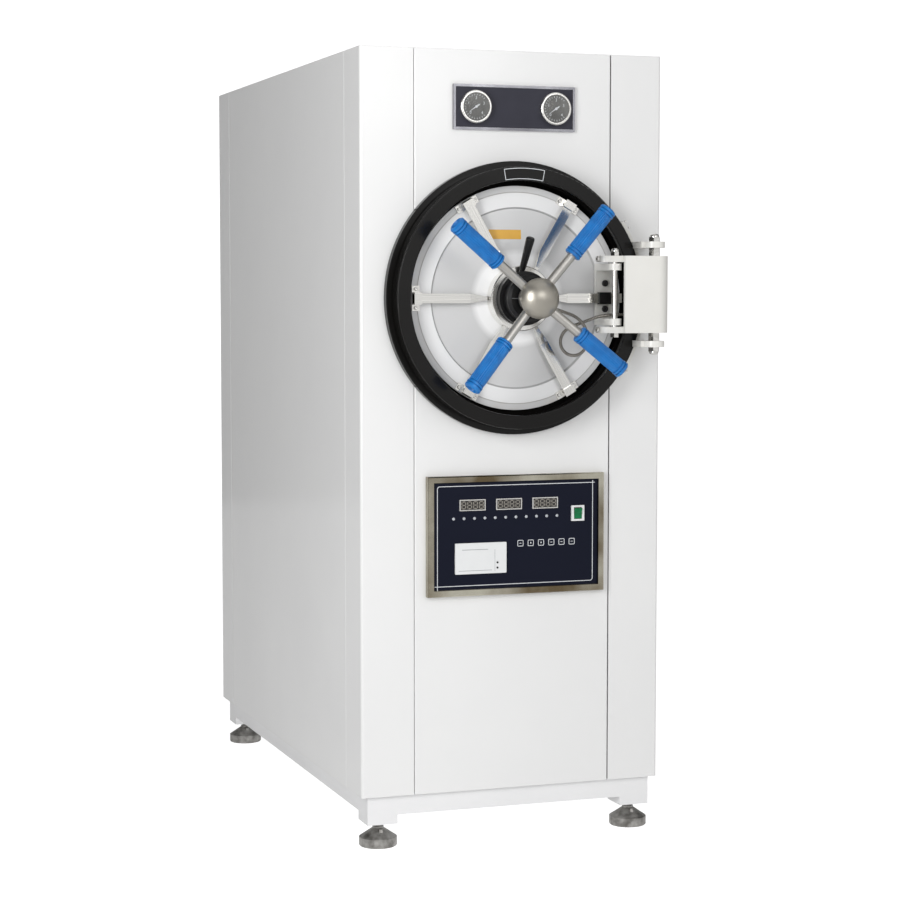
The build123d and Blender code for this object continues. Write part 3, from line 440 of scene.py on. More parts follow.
# %% Plastic finishes
hub_plastic = sprayed(
    "hub_plastic", (0.004, 0.004, 0.0042), (0.007, 0.007, 0.0075), 0.36, 0.0, 0.00006, 40.0, 0.3
)
grip_rubber = sprayed(
    "grip_rubber", (0.007, 0.215, 0.61), (0.003, 0.105, 0.36), 0.36, 0.0, 0.00025, 70.0
)
panel_plastic = sprayed(
    "panel_plastic", (0.76, 0.77, 0.77), (0.72, 0.73, 0.735), 0.4, 0.0, 0.00004, 40.0
)
display_plastic = sprayed(
    "display_plastic", (0.016, 0.014, 0.012), (0.024, 0.021, 0.018), 0.18, 0.3, 0.00001, 60.0
)
rocker_plastic = sprayed(
    "rocker_plastic", (0.002, 0.20, 0.065), (0.001, 0.10, 0.03), 0.36, 0.0, 0.00002, 90.0, 0.3
)
print_white = sprayed(
    "print_white", (0.72, 0.74, 0.76), (0.62, 0.64, 0.66), 0.5, 0.0, 0.00001, 80.0
)
sticker_film = sprayed(
    "sticker_film", (0.76, 0.42, 0.045), (0.68, 0.36, 0.035), 0.4, 0.1, 0.00002, 50.0
)
digit_grey = sprayed(
    "digit_grey", (0.27, 0.25, 0.22), (0.20, 0.185, 0.16), 0.4, 0.0, 0.00001, 90.0
)
rim_grey = sprayed("rim_grey", (0.60, 0.59, 0.57), (0.48, 0.47, 0.45), 0.4, 0.0, 0.00002, 60.0)
lamp_plastic = sprayed(
    "lamp_plastic", (0.50, 0.52, 0.55), (0.40, 0.42, 0.45), 0.21, 0.2, 0.00001, 80.0
)
seam_grey = sprayed("seam_grey", (0.30, 0.31, 0.32), (0.24, 0.25, 0.26), 0.6, 0.0, 0.00001, 60.0)
dark_screw = sprayed(
    "dark_screw", (0.016, 0.016, 0.017), (0.03, 0.03, 0.03), 0.35, 0.1, 0.00003, 200.0
)
dial_face = sprayed("dial_face", (0.02, 0.02, 0.018), (0.24, 0.24, 0.23), 0.35, 0.0, 0.00001, 22.0)
seal_rubber = sprayed(
    "seal_rubber", (0.30, 0.045, 0.03), (0.22, 0.035, 0.025), 0.6, 0.0, 0.0001, 40.0
)

# %% [markdown]
# The gauge glass only has to shine. A mostly clear surface with full gloss keeps the dial bright
# and still shows the lamps, where a solid glass plate would throw a shadow on it.

# %% Gauge glass
clear_glass = finish("clear_glass", (0.02, 0.02, 0.02), 0.04, specular=1.0)
_, links, shader = tree_of(clear_glass)
dust = use_group(clear_glass, paint_group, Cloud_Scale=35.0, Ripple_Scale=700.0)
links.new(spread(clear_glass, dust.outputs["Cloud"], 0.05, 0.09), shader.inputs["Alpha"])
links.new(spread(clear_glass, dust.outputs["Cloud"], 0.03, 0.08), shader.inputs["Roughness"])

# %% [markdown]
# The conduit is a steel strip wound into a tube. Its turns follow the line, so the pattern reads
# the UV map that the curve gave its mesh, where one direction runs along the length.

# %% Conduit finish
conduit_metal = finish("conduit_metal", (0.36, 0.34, 0.31), 0.35, metallic=0.9)
nodes, links, shader = tree_of(conduit_metal)
along = nodes.new("ShaderNodeSeparateXYZ")
links.new(nodes.new("ShaderNodeTexCoord").outputs["UV"], along.inputs[0])
strip_turns = 150
turns = math_node(nodes, links, "MULTIPLY", along.outputs["X"], 2 * pi * strip_turns)
wave = math_node(nodes, links, "SINE", turns)
crest = math_node(nodes, links, "MULTIPLY", math_node(nodes, links, "ADD", wave, 1.0), 0.5)
# The troughs between the turns are coloured dark as painted shade and the crests light; the relief
# below shapes the same ribs.
ribs = mix_colors(conduit_metal, crest, (0.10, 0.09, 0.08), (0.42, 0.40, 0.36))
links.new(ribs, shader.inputs["Base Color"])
relief(conduit_metal, crest, 0.0006)
conduit.data.materials.append(conduit_metal)

# %% [markdown]
# Each solid node then gets its finish. The conduit and the grips have none, because pieces made
# here stand in for them.

# %% Dress the solid nodes
dressed = {
    cabinet_paint: [
        "front_left_post", "front_right_post", "rear_left_post", "rear_right_post",
        "upper_front_panel", "lower_front_panel", "left_side_panel", "right_side_panel",
        "rear_panel", "top_panel",
    ],
    base_paint: ["base_frame"],
    foot_metal: ["levelling_feet"],
    stand_paint: ["chamber_legs", "chamber_saddles"],
    chamber_metal: ["chamber_shell", "chamber_back"],
    seal_rubber: ["door_gasket"],
    ring_enamel: ["ring_flange", "ring_sleeve", "ring_lip"],
    hinge_paint: ["ring_hinge_bracket", "door_hinge_bracket", "hinge_arm"],
    nut_steel: ["outer_hinge_pin", "inner_hinge_pin", "conduit_glands"],
    trim_metal: ["control_surround"],
    plate_metal: ["gauge_frame"],
    slate_paint: ["gauge_slate"],
    turned_steel: ["left_gauge", "right_gauge", "hub_collar"],
    fascia_film: ["control_fascia"],
    display_plastic: ["displays"],
    panel_plastic: ["printer", "switch_bezel"],
    rocker_plastic: ["power_rocker"],
    door_paint: ["door_disc"],
    hub_plastic: ["hub_cover", "lever_ring", "lever_grip", "hinge_side_guide"],
    brushed_bar: [f"locking_bar_{number}" for number in range(1, 7)] + ["bar_guides"],
    spoke_steel: ["handwheel_spider"],
    cap_steel: ["handwheel_cap"],
}
for material, names in dressed.items():
    for name in names:
        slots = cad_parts[name].data.materials
        slots.clear()
        slots.append(material)
covered = {name for names in dressed.values() for name in names}
print("dressed", len(covered), "replaced", sorted(set(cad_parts) - covered))

# %% [markdown]
# Now the small pieces that the solids leave out. Each is shaped lying flat at the origin, where up
# is the way it will face, and only then turned and moved to its place. The helpers do what every
# piece needs: a flat plate to start from, faces picked by a test, what is picked raised or sunk, a
# line left standing round a plate, the move to its place, and the finish and the body it rides on.

# %% Helpers for small pieces
def pick(piece, test):
    """Selects the faces of a piece whose normal passes a test, and stays in edit mode."""
    bpy.ops.object.mode_set(mode="EDIT")
    bpy.ops.mesh.select_mode(type="FACE")
    bpy.ops.mesh.select_all(action="DESELECT")
    bpy.ops.object.mode_set(mode="OBJECT")
    for polygon in piece.data.polygons:
        polygon.select = test(polygon.normal)
    bpy.ops.object.mode_set(mode="EDIT")


def raise_picked(amount):
    """Extrudes the picked faces straight up by an amount, or down if it is negative."""
    bpy.ops.mesh.extrude_region_move(TRANSFORM_OT_translate={"value": (0, 0, amount)})


def pick_all():
    """Selects all of the active piece, in edit mode."""
    bpy.ops.object.mode_set(mode="EDIT")
    bpy.ops.mesh.select_all(action="SELECT")


def flat_polygon(corners, radius, location=(0, 0, 0)):
    """Adds a flat face with so many corners."""
    bpy.ops.mesh.primitive_circle_add(
        vertices=corners, radius=radius, fill_type="NGON", location=location
    )


def start(name):
    """Names the primitive that was just added."""
    piece = bpy.context.object
    piece.name = name
    return piece


def plate(name, width, height):
    """A flat plate at the origin."""
    bpy.ops.mesh.primitive_plane_add(size=1, location=(0, 0, 0))
    piece = start(name)
    piece.scale = (width, height, 1)
    bpy.ops.object.transform_apply(scale=True)
    return piece


def keep_line(line, thickness):
    """Leaves only a line round the selected faces, raised by its thickness."""
    bpy.ops.mesh.inset(thickness=line)
    bpy.ops.mesh.delete(type="FACE")
    pick_all()
    raise_picked(thickness)
    pick_all()
    bpy.ops.mesh.normals_make_consistent(inside=False)


def place(piece, position, turn=(pi / 2, 0, 0)):
    """Turns a piece from lying flat to facing forward, or as told, and moves it to its place."""
    if piece.mode != "OBJECT":
        bpy.ops.object.mode_set(mode="OBJECT")
    piece.rotation_euler = turn
    piece.location = position
    bpy.ops.object.select_all(action="DESELECT")
    piece.select_set(True)
    bpy.context.view_layer.objects.active = piece
    bpy.ops.object.transform_apply(location=True, rotation=True, scale=True)
    piece.select_set(False)


def give(piece, body, material):
    """Gives a piece its finish and the body that it rides on."""
    piece.data.materials.clear()
    piece.data.materials.append(material)
    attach(piece, body)


def twin(piece, name):
    """A copy of a piece with its own mesh."""
    copy = piece.copy()
    copy.data = piece.data.copy()
    copy.name = name
    bpy.context.collection.objects.link(copy)
    return copy


# %% [markdown]
# The grips are rubber sleeves with fine ribs along them and turned grooves near both ends. A
# circle is extruded along the grip and resized at each step of its profile. Then every fourth line
# of the body is pulled in, which leaves the ribs. The beads and grooves at the ends stay round, so
# the ribs stop short of them, as they do on a moulded sleeve.

# %% One ribbed grip
grip_start, grip_end, bore = 0.1135, 0.236, 0.0097
bead, body_radius, groove = 0.018, 0.0172, 0.0153
grip_sides = 96
bpy.ops.mesh.primitive_circle_add(vertices=grip_sides, radius=bore, location=(0, 0, 0))
grip = start("grip_1")
bpy.ops.object.mode_set(mode="EDIT")
profile = [
    (bead - 0.002, grip_start), (bead, grip_start + 0.002), (bead, grip_start + 0.005),
    (groove, grip_start + 0.0056), (groove, grip_start + 0.0072), (bead, grip_start + 0.0078),
    (bead, grip_start + 0.0112), (groove, grip_start + 0.0118), (groove, grip_start + 0.0134),
    (body_radius, grip_start + 0.0142), (body_radius, grip_start + 0.017),
    (body_radius, grip_end - 0.018), (body_radius, grip_end - 0.0162), (groove, grip_end - 0.0155),
    (groove, grip_end - 0.0138), (bead, grip_end - 0.0132), (bead, grip_end - 0.0095),
    (groove, grip_end - 0.0089), (groove, grip_end - 0.0072), (bead, grip_end - 0.0066),
    (bead, grip_end - 0.0025), (bead - 0.0025, grip_end), (0.0118, grip_end + 0.001),
    (bore, grip_end - 0.002), (bore, grip_start),
]
bpy.ops.transform.translate(value=(0, 0, grip_start))
last_radius, last_height = bore, grip_start
for radius, height in profile:
    raise_picked(height - last_height)
    ratio = radius / last_radius
    bpy.ops.transform.resize(value=(ratio, ratio, 1), center_override=(0, 0, 0))
    last_radius, last_height = radius, height
pick_all()
bpy.ops.mesh.remove_doubles(threshold=0.00001)
bpy.ops.mesh.normals_make_consistent(inside=False)
bpy.ops.mesh.select_all(action="DESELECT")
bpy.ops.object.mode_set(mode="OBJECT")
for vertex in grip.data.vertices:
    x, y, z = vertex.co
    on_body = grip_start + 0.0165 < z < grip_end - 0.0175 and x * x + y * y > 0.015**2
    vertex.select = on_body and round(degrees(atan2(y, x)) * grip_sides / 360) % 4 == 0
bpy.ops.object.mode_set(mode="EDIT")
bpy.ops.mesh.select_mode(type="VERT")
bpy.ops.transform.resize(value=(0.92, 0.92, 1), center_override=(0, 0, 0))
bpy.ops.object.mode_set(mode="OBJECT")
bpy.ops.object.shade_smooth_by_angle(angle=radians(35))
print("grip faces", len(grip.data.polygons))

# %% [markdown]
# The wheel's four spokes stand a quarter turn apart and lean forward a little. Each grip is turned
# until its length runs along its spoke.

# %% Four grips on the wheel
wheel_forward = 0.137
wheel_root = Vector((0, front_y - wheel_forward, axis_z))
first_spoke, cone = radians(50.7), radians(4.75)
grips = [grip] + [twin(grip, f"grip_{number}") for number in (2, 3, 4)]
for number, piece in enumerate(grips):
    angle = first_spoke + number * pi / 2
    along = Vector((cos(angle) * cos(cone), -sin(cone), sin(angle) * cos(cone)))
    place(piece, wheel_root, along.to_track_quat("Z", "Y").to_euler())
    give(piece, "handwheel", grip_rubber)
    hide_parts("handwheel_grips")

# %% [markdown]
# Socket screws hold the bar guides and the hinge side of the door, and three small ones sit in the
# cabinet's face beside the ring. One screw is a short cylinder whose top is inset twice, once for
# the rounded rim and once for the sunk socket. The screws of a row are copies of the first, and
# each row has its own size.

# %% One socket screw
def socket_screw(name, radius, height):
    """A screw that stands at the origin with its socket up."""
    bpy.ops.mesh.primitive_cylinder_add(
        vertices=24, radius=radius, depth=height, location=(0, 0, 0)
    )
    screw = start(name)
    pick(screw, lambda normal: normal.z > 0.9)
    bpy.ops.mesh.inset(thickness=radius * 0.12)
    bpy.ops.transform.translate(value=(0, 0, radius * 0.12))
    bpy.ops.mesh.inset(thickness=radius * 0.38)
    raise_picked(-height * 0.55)
    pick(screw, lambda normal: normal.z < -0.9)
    bpy.ops.transform.translate(value=(0, 0, height / 2))
    pick_all()
    bpy.ops.transform.translate(value=(0, 0, height / 2))
    bpy.ops.object.mode_set(mode="OBJECT")
    bpy.ops.object.shade_smooth_by_angle(angle=radians(30))
    return screw


def screw_row(name, radius, height, places, body, material, turn=(pi / 2, 0, 0)):
    """Copies of one screw. A place is given from the door's axis and the cabinet's face."""
    first = socket_screw(f"{name}_1", radius, height)
    screws = [first] + [twin(first, f"{name}_{number + 2}") for number in range(len(places) - 1)]
    for screw, (x, forward, up) in zip(screws, places):
        place(screw, (x, front_y - forward, axis_z + up), turn)
        give(screw, body, material)
    print(name, len(screws))


# %% [markdown]
# Two screws hold each of the five guides, one on either side of its bar, so their places are
# worked out from the bar's angle. The few screws on the hinge side and beside the ring follow no
# pattern, so they are written down one by one.

# %% Screws on the door
guide_radius, guide_front, beside_bar = 0.223, 0.0235, 0.0195
guide_places = []
for number in range(1, 6):
    angle = radians(60 * number)
    for side in (-beside_bar, beside_bar):
        across = guide_radius * cos(angle) - side * sin(angle)
        up = guide_radius * sin(angle) + side * cos(angle)
        guide_places.append((across, guide_front, up))
screw_row("guide_screw", 0.0042, 0.0035, guide_places, "door", nut_steel)
bracket_places = [(0.1945, 0.0275, 0.0315), (0.1945, 0.0275, -0.0225)]
screw_row("bracket_screw", 0.0068, 0.006, bracket_places, "door", dark_screw)
flange_places = [(0.1545, 0.098, 0.0815), (0.1545, 0.098, -0.0655)]
facing_left = (pi / 2, 0, -pi / 2)
screw_row(
    "clamp_screw", 0.0062, 0.007, flange_places, "door", nut_steel, facing_left
)
band_places = [(0.2545, 0.0, 0.163), (0.2625, 0.0, 0.151), (0.2590, 0.0, -0.155)]
screw_row("band_screw", 0.0022, 0.0015, band_places, "cabinet", nut_steel)

# %% [markdown]
# A thin outline is the sign of a printed frame: round the label on the ring, round the keys and
# the displays, and as the border of the fascia. It is a flat plate with rounded corners, inset by
# the width of the line. The middle is taken out, and what is left is raised by a hair, so that it
# reads as a print or a thin rim from every side.

# %% A helper for outlines
def outline(name, width, height, line, thickness, rounding=0.0, corners=lambda x, y: True):
    """A rectangular rim lying flat, with its corners rounded where the test says so."""
    rim = plate(name, width, height)
    if rounding:
        bpy.ops.object.mode_set(mode="EDIT")
        bpy.ops.mesh.select_mode(type="VERT")
        bpy.ops.mesh.select_all(action="DESELECT")
        bpy.ops.object.mode_set(mode="OBJECT")
        for vertex in rim.data.vertices:
            vertex.select = corners(vertex.co.x, vertex.co.y)
        bpy.ops.object.mode_set(mode="EDIT")
        bpy.ops.mesh.bevel(offset=rounding, segments=4, affect="VERTICES")
        bpy.ops.object.mode_set(mode="OBJECT")
    bpy.ops.object.mode_set(mode="EDIT")
    bpy.ops.mesh.select_mode(type="FACE")
    pick_all()
    keep_line(line, thickness)
    bpy.ops.object.mode_set(mode="OBJECT")
    return rim


# %% [markdown]
# The label on the ring is such a frame, but bent. The plane loses its face and two of its edges
# run together into one short radial edge, which is spun round the door's axis into a band. The
# band's line stays, and its middle is taken out.

# %% The bare label on the ring
label_inner, label_outer, lip_forward = 0.2455, 0.2685, 0.055
label_start, label_sweep = radians(10.4), radians(-19.4)
bpy.ops.mesh.primitive_plane_add(size=1, location=(0, 0, 0))
label = start("ring_label_outline")
bpy.ops.object.mode_set(mode="EDIT")
bpy.ops.mesh.delete(type="ONLY_FACE")
bpy.ops.object.mode_set(mode="OBJECT")
for vertex in label.data.vertices:
    vertex.co = (0.0, label_inner if vertex.co.y < 0 else label_outer, 0.0)
pick_all()
bpy.ops.mesh.remove_doubles(threshold=0.0001)
bpy.ops.transform.rotate(value=label_start, orient_axis="Z", center_override=(0, 0, 0))
bpy.ops.mesh.spin(steps=16, angle=label_sweep, center=(0, 0, 0), axis=(0, 0, 1))
pick_all()
keep_line(0.0013, 0.0003)
place(label, (0, front_y - lip_forward, axis_z))
give(label, "cabinet", print_white)
print("label faces", len(label.data.polygons))

# %% [markdown]
# A plain yellow sticker lies on the dished disc beside the lever. A flat plate would stand off it,
# so the plate is subdivided and wrapped onto the disc with a small gap by a Shrinkwrap modifier.

# %% Sticker
sticker_across, sticker_up, sticker_gap = -0.0265, 0.1325, 0.0004
sticker = plate("plain_sticker", 0.071, 0.0195)
bpy.ops.object.mode_set(mode="EDIT")
bpy.ops.mesh.subdivide(number_cuts=9)
bpy.ops.object.mode_set(mode="OBJECT")
place(sticker, (sticker_across, front_y - 0.030, axis_z + sticker_up))
wrap = sticker.modifiers.new("wrap", "SHRINKWRAP")
wrap.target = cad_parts["door_disc"]
wrap.wrap_method = "PROJECT"
wrap.use_project_y = True
wrap.use_negative_direction = True
wrap.use_positive_direction = True
wrap.offset = sticker_gap
bpy.context.view_layer.objects.active = sticker
bpy.ops.object.modifier_apply(modifier="wrap")
give(sticker, "door", sticker_film)
print("sticker faces", len(sticker.data.polygons))

# %% [markdown]
# The fascia is a dark printed film. Its white border has two rounded corners, and at the other two
# the lines run on across each other to the film's edge, which is done with four short plates.

# %% Border of the fascia
fascia_face, printer_face = 0.010, 0.014


def front_place(x, rise, forward):
    """A place measured from the cabinet's middle, from its lower edge and from its face."""
    return (x, front_y - forward, shell_bottom + rise)


border_width, border_height, border_line = 0.3507, 0.211, 0.0015
line_x, line_y = (border_width - border_line) / 2, (border_height - border_line) / 2
border = outline(
    "fascia_border", border_width, border_height, border_line, 0.0002, 0.006,
    lambda x, y: (x < 0) == (y > 0),
)
bpy.ops.object.mode_set(mode="EDIT")
for x, y, width, height in (
    (line_x, 0.1075, border_line, 0.004), (0.1773, line_y, 0.004, border_line),
    (-line_x, -0.1095, border_line, 0.008), (-0.1783, -line_y, 0.006, border_line),
):
    bpy.ops.mesh.primitive_plane_add(size=1, location=(x, y, 0.0001))
    bpy.ops.transform.resize(value=(width, height, 1), center_override=(x, y, 0.0001))
    raise_picked(0.0001)
place(border, front_place(0.0029, 0.5415, fascia_face))
give(border, "cabinet", print_white)

# %% [markdown]
# Each display is a dark window with a grey rim and four unlit digits. A digit has seven segments,
# each a hexagon pulled long, and the finished digit is copied along the window. Digits and rim are
# then copied to the other two displays.

# %% Unlit digits
display_rise, window_forward = 0.606, 0.0115
display_places = [-0.0945 + 0.0815 * number for number in range(3)]
digit_pitch = 0.013


def segment(x, y, upright):
    """A hexagon pulled long, upright or lying."""
    flat_polygon(6, 0.0011, (x, y, 0))
    bpy.ops.object.mode_set(mode="EDIT")
    width, height = (1.15, 3.2) if upright else (3.2, 1.15)
    bpy.ops.transform.resize(value=(width, height, 1), center_override=(x, y, 0))


segment(0, 0, False)
digits = start("display_digits")
for x, y, upright in (
    (0, 0.0072, False), (0, -0.0072, False), (-0.0042, 0.0036, True),
    (0.0042, 0.0036, True), (-0.0042, -0.0036, True), (0.0042, -0.0036, True),
):
    segment(x, y, upright)
pick_all()
raise_picked(0.0002)
pick_all()
bpy.ops.transform.translate(value=(-1.5 * digit_pitch, 0, 0))
for number in range(3):
    bpy.ops.mesh.duplicate_move(TRANSFORM_OT_translate={"value": (digit_pitch, 0, 0)})
bpy.ops.object.mode_set(mode="OBJECT")


def display_row(first, forward, material):
    """Puts a piece on the first display and a copy on each of the other two."""
    row = [first] + [twin(first, f"{first.name}_{number}") for number in (2, 3)]
    for piece, x in zip(row, display_places):
        place(piece, front_place(x, display_rise, forward))
        give(piece, "cabinet", material)


display_row(digits, window_forward, digit_grey)
display_row(outline("display_rim", 0.0575, 0.0235, 0.002, 0.0024), fascia_face, rim_grey)

# %% [markdown]
# Eleven indicator lamps stand in a row below the displays. One is a short cylinder whose top is
# beveled into a dome, and it is copied along the row.

# %% Indicator lamps
first_lamp, lamp_pitch, lamp_rise = -0.136, 0.0232, 0.578
bpy.ops.mesh.primitive_cylinder_add(
    vertices=20, radius=0.0034, depth=0.003, location=(0, 0, 0.0015)
)
lamp = start("indicator_1")
pick(lamp, lambda normal: normal.z > 0.9)
bpy.ops.mesh.bevel(offset=0.0022, segments=4)
bpy.ops.object.mode_set(mode="OBJECT")
bpy.ops.object.shade_smooth_by_angle(angle=radians(40))
indicators = [lamp] + [twin(lamp, f"indicator_{number}") for number in range(2, 12)]
for number, piece in enumerate(indicators):
    place(piece, front_place(first_lamp + lamp_pitch * number, lamp_rise, fascia_face))
    give(piece, "cabinet", lamp_plastic)

# %% [markdown]
# Six touch keys lie under the same film. Each shows as a white outline with a small mark inside: a
# wedge that points up or down, or a bar.

# %% Touch keys
first_key, key_pitch, key_rise, key_size = 0.0133, 0.0233, 0.522, 0.0135
for number in range(6):
    key = outline(f"key_outline_{number + 1}", key_size, key_size, 0.0013, 0.0002, 0.0025)
    bpy.ops.object.mode_set(mode="EDIT")
    if number in (1, 2):
        flat_polygon(3, 0.0024)
        if number == 2:
            bpy.ops.transform.rotate(value=pi, orient_axis="Z", center_override=(0, 0, 0))
    else:
        bpy.ops.mesh.primitive_plane_add(size=0.0011, location=(0, 0, 0))
        bpy.ops.transform.resize(value=(4.2, 1, 1), center_override=(0, 0, 0))
    raise_picked(0.0002)
    place(key, front_place(first_key + key_pitch * number, key_rise, fascia_face))
    give(key, "cabinet", print_white)

# %% [markdown]
# The printer is a white cassette with a paper slot at its top, a seam for its door and two dark
# buttons. Slot and seam are thin strips: a plate on the printer's face with a dark finish.

# %% Printer details
for name, x, rise, width, height in (
    ("paper_slot", -0.0895, 0.5125, 0.058, 0.0011),
    ("door_seam", -0.0890, 0.4685, 0.074, 0.0009),
    ("door_edge", -0.0455, 0.4890, 0.0006, 0.046),
):
    strip = plate(name, width, height)
    bpy.ops.object.mode_set(mode="EDIT")
    bpy.ops.mesh.bevel(offset=min(width, height) * 0.3, segments=2, affect="VERTICES")
    pick_all()
    raise_picked(0.00015)
    place(strip, front_place(x, rise, printer_face))
    give(strip, "cabinet", seam_grey)
for number, rise in enumerate((0.484, 0.473)):
    button = socket_screw(f"printer_button_{number + 1}", 0.0021, 0.0012)
    place(button, front_place(-0.0400, rise, printer_face))
    give(button, "cabinet", hub_plastic)

# %% [markdown]
# The gauges have a dark dial behind glass, with white ticks over three quarters of a turn,
# numbers, and a pointer whose long end rests near zero at the lower left. One tick is spun with
# copies round the dial. The numbers are text, made a mesh before they are placed. The glass is a
# shallow dome: a disc inset four times, a little higher each time.

# %% Dials
dial_rise, dial_forward, glass_gap = 1.4315, 0.0164, 0.0019
dial_radius, tick_radius, number_radius = 0.0292, 0.0245, 0.0180
pointer_tip, pointer_tail, pointer_waist = 0.0205, -0.0105, -0.006
zero_degrees, sweep_degrees, pointer_degrees, last_number = 225, 270, 214, 4


def disc(name, radius):
    """A flat disc at the origin, picked and in edit mode."""
    flat_polygon(64, radius)
    piece = start(name)
    pick_all()
    return piece


def dial(side, x):
    """One gauge's face, ticks, numbers, pointer and glass."""
    centre = Vector(front_place(x, dial_rise, dial_forward))
    face = disc(f"{side}_dial", dial_radius)
    bpy.ops.mesh.inset(thickness=0.0016)
    bpy.ops.transform.translate(value=(0, 0, -0.0002))
    place(face, centre)
    give(face, "cabinet", dial_face)

    ticks = plate(f"{side}_ticks", 0.0034, 0.0009)
    pick_all()
    bpy.ops.transform.translate(value=(tick_radius, 0, 0))
    last_tick = radians(sweep_degrees - zero_degrees)
    bpy.ops.transform.rotate(value=last_tick, orient_axis="Z", center_override=(0, 0, 0))
    bpy.ops.mesh.spin(
        steps=20, angle=radians(sweep_degrees), center=(0, 0, 0), axis=(0, 0, 1), dupli=True
    )
    pick_all()
    raise_picked(0.0001)
    place(ticks, centre)
    give(ticks, "cabinet", print_white)

    for value in range(last_number + 1):
        angle = radians(zero_degrees - sweep_degrees * value / last_number)
        bpy.ops.object.text_add(location=(0, 0, 0))
        number = start(f"{side}_number_{value}")
        number.data.body = str(value)
        number.data.size = 0.0085
        number.data.align_x = "CENTER"
        number.data.align_y = "CENTER"
        number.data.extrude = 0.00005
        bpy.ops.object.convert(target="MESH")
        across, up = number_radius * cos(angle), number_radius * sin(angle)
        place(number, centre + Vector((across, -0.0001, up)))
        give(number, "cabinet", print_white)

    flat_polygon(4, 0.0016, (0, 0, 0.0005))
    pointer = start(f"{side}_pointer")
    for vertex in pointer.data.vertices:
        if vertex.co.x > 0.001:
            vertex.co.x = pointer_tip
        elif vertex.co.x < -0.001:
            vertex.co.x = pointer_tail
        else:
            vertex.co.x = pointer_waist
    pick_all()
    raise_picked(0.0005)
    bpy.ops.mesh.primitive_cylinder_add(
        vertices=20, radius=0.0028, depth=0.0008, location=(0, 0, 0.0010)
    )
    bpy.ops.object.mode_set(mode="OBJECT")
    pointer.rotation_euler = (0, 0, radians(pointer_degrees))
    bpy.ops.object.transform_apply(rotation=True)
    place(pointer, centre)
    give(pointer, "cabinet", print_white)

    glass = disc(f"{side}_glass", dial_radius + 0.0001)
    for _ in range(4):
        bpy.ops.mesh.inset(thickness=0.006)
        bpy.ops.transform.translate(value=(0, 0, 0.0002))
    bpy.ops.object.mode_set(mode="OBJECT")
    bpy.ops.object.shade_smooth()
    place(glass, centre - Vector((0, glass_gap, 0)))
    give(glass, "cabinet", clear_glass)


dial("left", -0.0885)
dial("right", 0.0885)
meshes = [piece for piece in bpy.context.scene.objects if piece.type == "MESH"]
print("small pieces", len(meshes) - len(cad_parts))

# %% [markdown]
# The hub cover is in two halves. The joint between them shows as a fine pale line on its front.

# %% Joint of the hub cover
cover_forward = 0.100
for name, x in (("cover_joint_left", -0.0305), ("cover_joint_right", 0.0305)):
    joint = plate(name, 0.021, 0.0006)
    bpy.ops.object.mode_set(mode="EDIT")
    bpy.ops.mesh.bevel(offset=0.0001, segments=1, affect="VERTICES")
    pick_all()
    raise_picked(0.0002)
    place(joint, (x, front_y - cover_forward, axis_z))
    give(joint, "door", seam_grey)

# %% [markdown]
# A plain pale floor runs up into a wall far behind, so the horizon never shows. The ground in the
# photograph is burnt out to white, so the paper glows. The camera sees it brighter than it lights
# the machine, or its glow would wash out the feet and the left side.

# %% Floor and backdrop
floor_back = 7
bpy.ops.object.select_all(action="DESELECT")
bpy.ops.mesh.primitive_plane_add(size=40, location=(0, 0, 0))
floor = bpy.context.object
floor.name = "studio_floor"
bpy.ops.object.mode_set(mode="EDIT")
bpy.ops.mesh.bisect(plane_co=(0, floor_back, 0), plane_no=(0, 1, 0), clear_outer=True)
bpy.ops.mesh.select_all(action="DESELECT")
bpy.ops.object.mode_set(mode="OBJECT")
for edge in floor.data.edges:
    edge.select = all(floor.data.vertices[v].co.y > floor_back - 0.01 for v in edge.vertices)
bpy.ops.object.mode_set(mode="EDIT")
bpy.ops.mesh.select_mode(type="EDGE")
bpy.ops.mesh.extrude_region_move(TRANSFORM_OT_translate={"value": (0, 3, 1.2)})
bpy.ops.mesh.extrude_region_move(TRANSFORM_OT_translate={"value": (0, 1, 9)})
bpy.ops.object.mode_set(mode="OBJECT")
bpy.ops.object.shade_smooth()


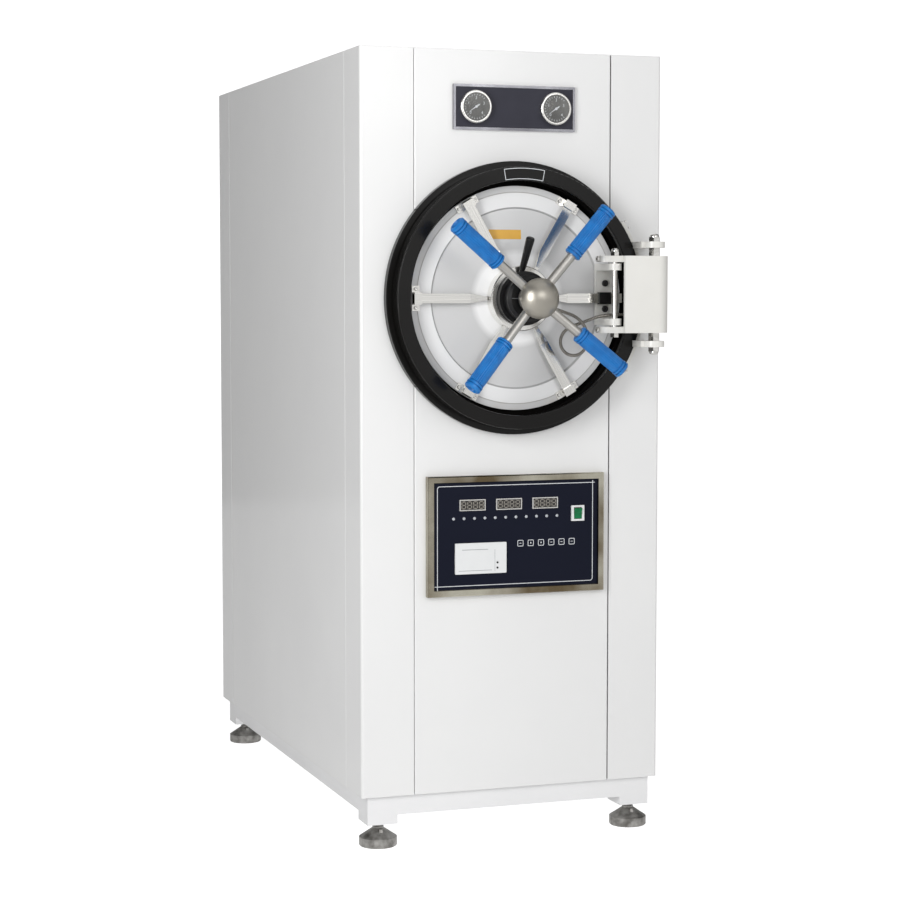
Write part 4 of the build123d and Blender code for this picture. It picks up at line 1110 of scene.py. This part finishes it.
def lit_paper(name, seen, cast):
    """Paper that glows: so much where it is seen, and less where it only lights the machine."""
    paper = finish(name, (0.45, 0.45, 0.45), 0.8)
    nodes, links, shader = tree_of(paper)
    shader.inputs["Emission Color"].default_value = (1, 1, 1, 1)
    seen_directly = nodes.new("ShaderNodeLightPath").outputs["Is Camera Ray"]
    strength = spread(paper, seen_directly, cast, seen, 0.0, 1.0)
    links.new(strength, shader.inputs["Emission Strength"])
    return paper


floor.data.materials.append(lit_paper("floor_paper", 0.9, 0.42))
floor.data.materials.append(lit_paper("wall_paper", 1.0, 0.12))
for polygon in floor.data.polygons:
    polygon.material_index = 1 if polygon.center.y > floor_back else 0

# %% [markdown]
# The lamps are large and soft: one in front, one at the front left and one overhead. The left one
# puts a bright line on the rounded edges and lets the side fade towards the back. The air glows
# more in front than at the sides, which gives the bright metal something pale to mirror.

# %% Lamps
def softbox(name, position, target, width, height, power):
    """A rectangular lamp that looks at a target."""
    bpy.ops.object.light_add(type="AREA", location=position)
    lamp = bpy.context.object
    lamp.name = name
    lamp.data.shape = "RECTANGLE"
    lamp.data.size = width
    lamp.data.size_y = height
    lamp.data.energy = power
    direction = Vector(target) - Vector(position)
    lamp.rotation_euler = direction.to_track_quat("-Z", "Y").to_euler()


softbox("front_softbox", (0.4, -6.0, 3.0), (0, -0.5, 0.8), 3.4, 2.2, 50)
softbox("side_softbox", (-2.3, -2.4, 1.6), (-0.25, -0.4, 0.9), 0.9, 1.8, 54)
softbox("top_softbox", (0.2, -0.6, 5.4), (0, -0.2, 0), 5.0, 5.0, 46)

# %% Glow of the air
world = bpy.data.worlds.new("studio_air")
bpy.context.scene.world = world
world.use_nodes = True
world.node_tree.nodes["Background"].inputs["Color"].default_value = (1, 1, 1, 1)
air = world.node_tree.nodes
air_links = world.node_tree.links
direction = air.new("ShaderNodeVectorMath")
direction.operation = "DOT_PRODUCT"
direction.inputs[1].default_value = (0.5, -0.86, 0)
air_links.new(air.new("ShaderNodeTexCoord").outputs["Generated"], direction.inputs[0])
glow = air.new("ShaderNodeMapRange")
for name, value in zip(range_names, (0.2, 0.95, 0.05, 0.85)):
    glow.inputs[name].default_value = value
air_links.new(direction.outputs["Value"], glow.inputs["Value"])
air_links.new(glow.outputs["Result"], air["Background"].inputs["Strength"])
bpy.context.scene.view_settings.view_transform = "Standard"
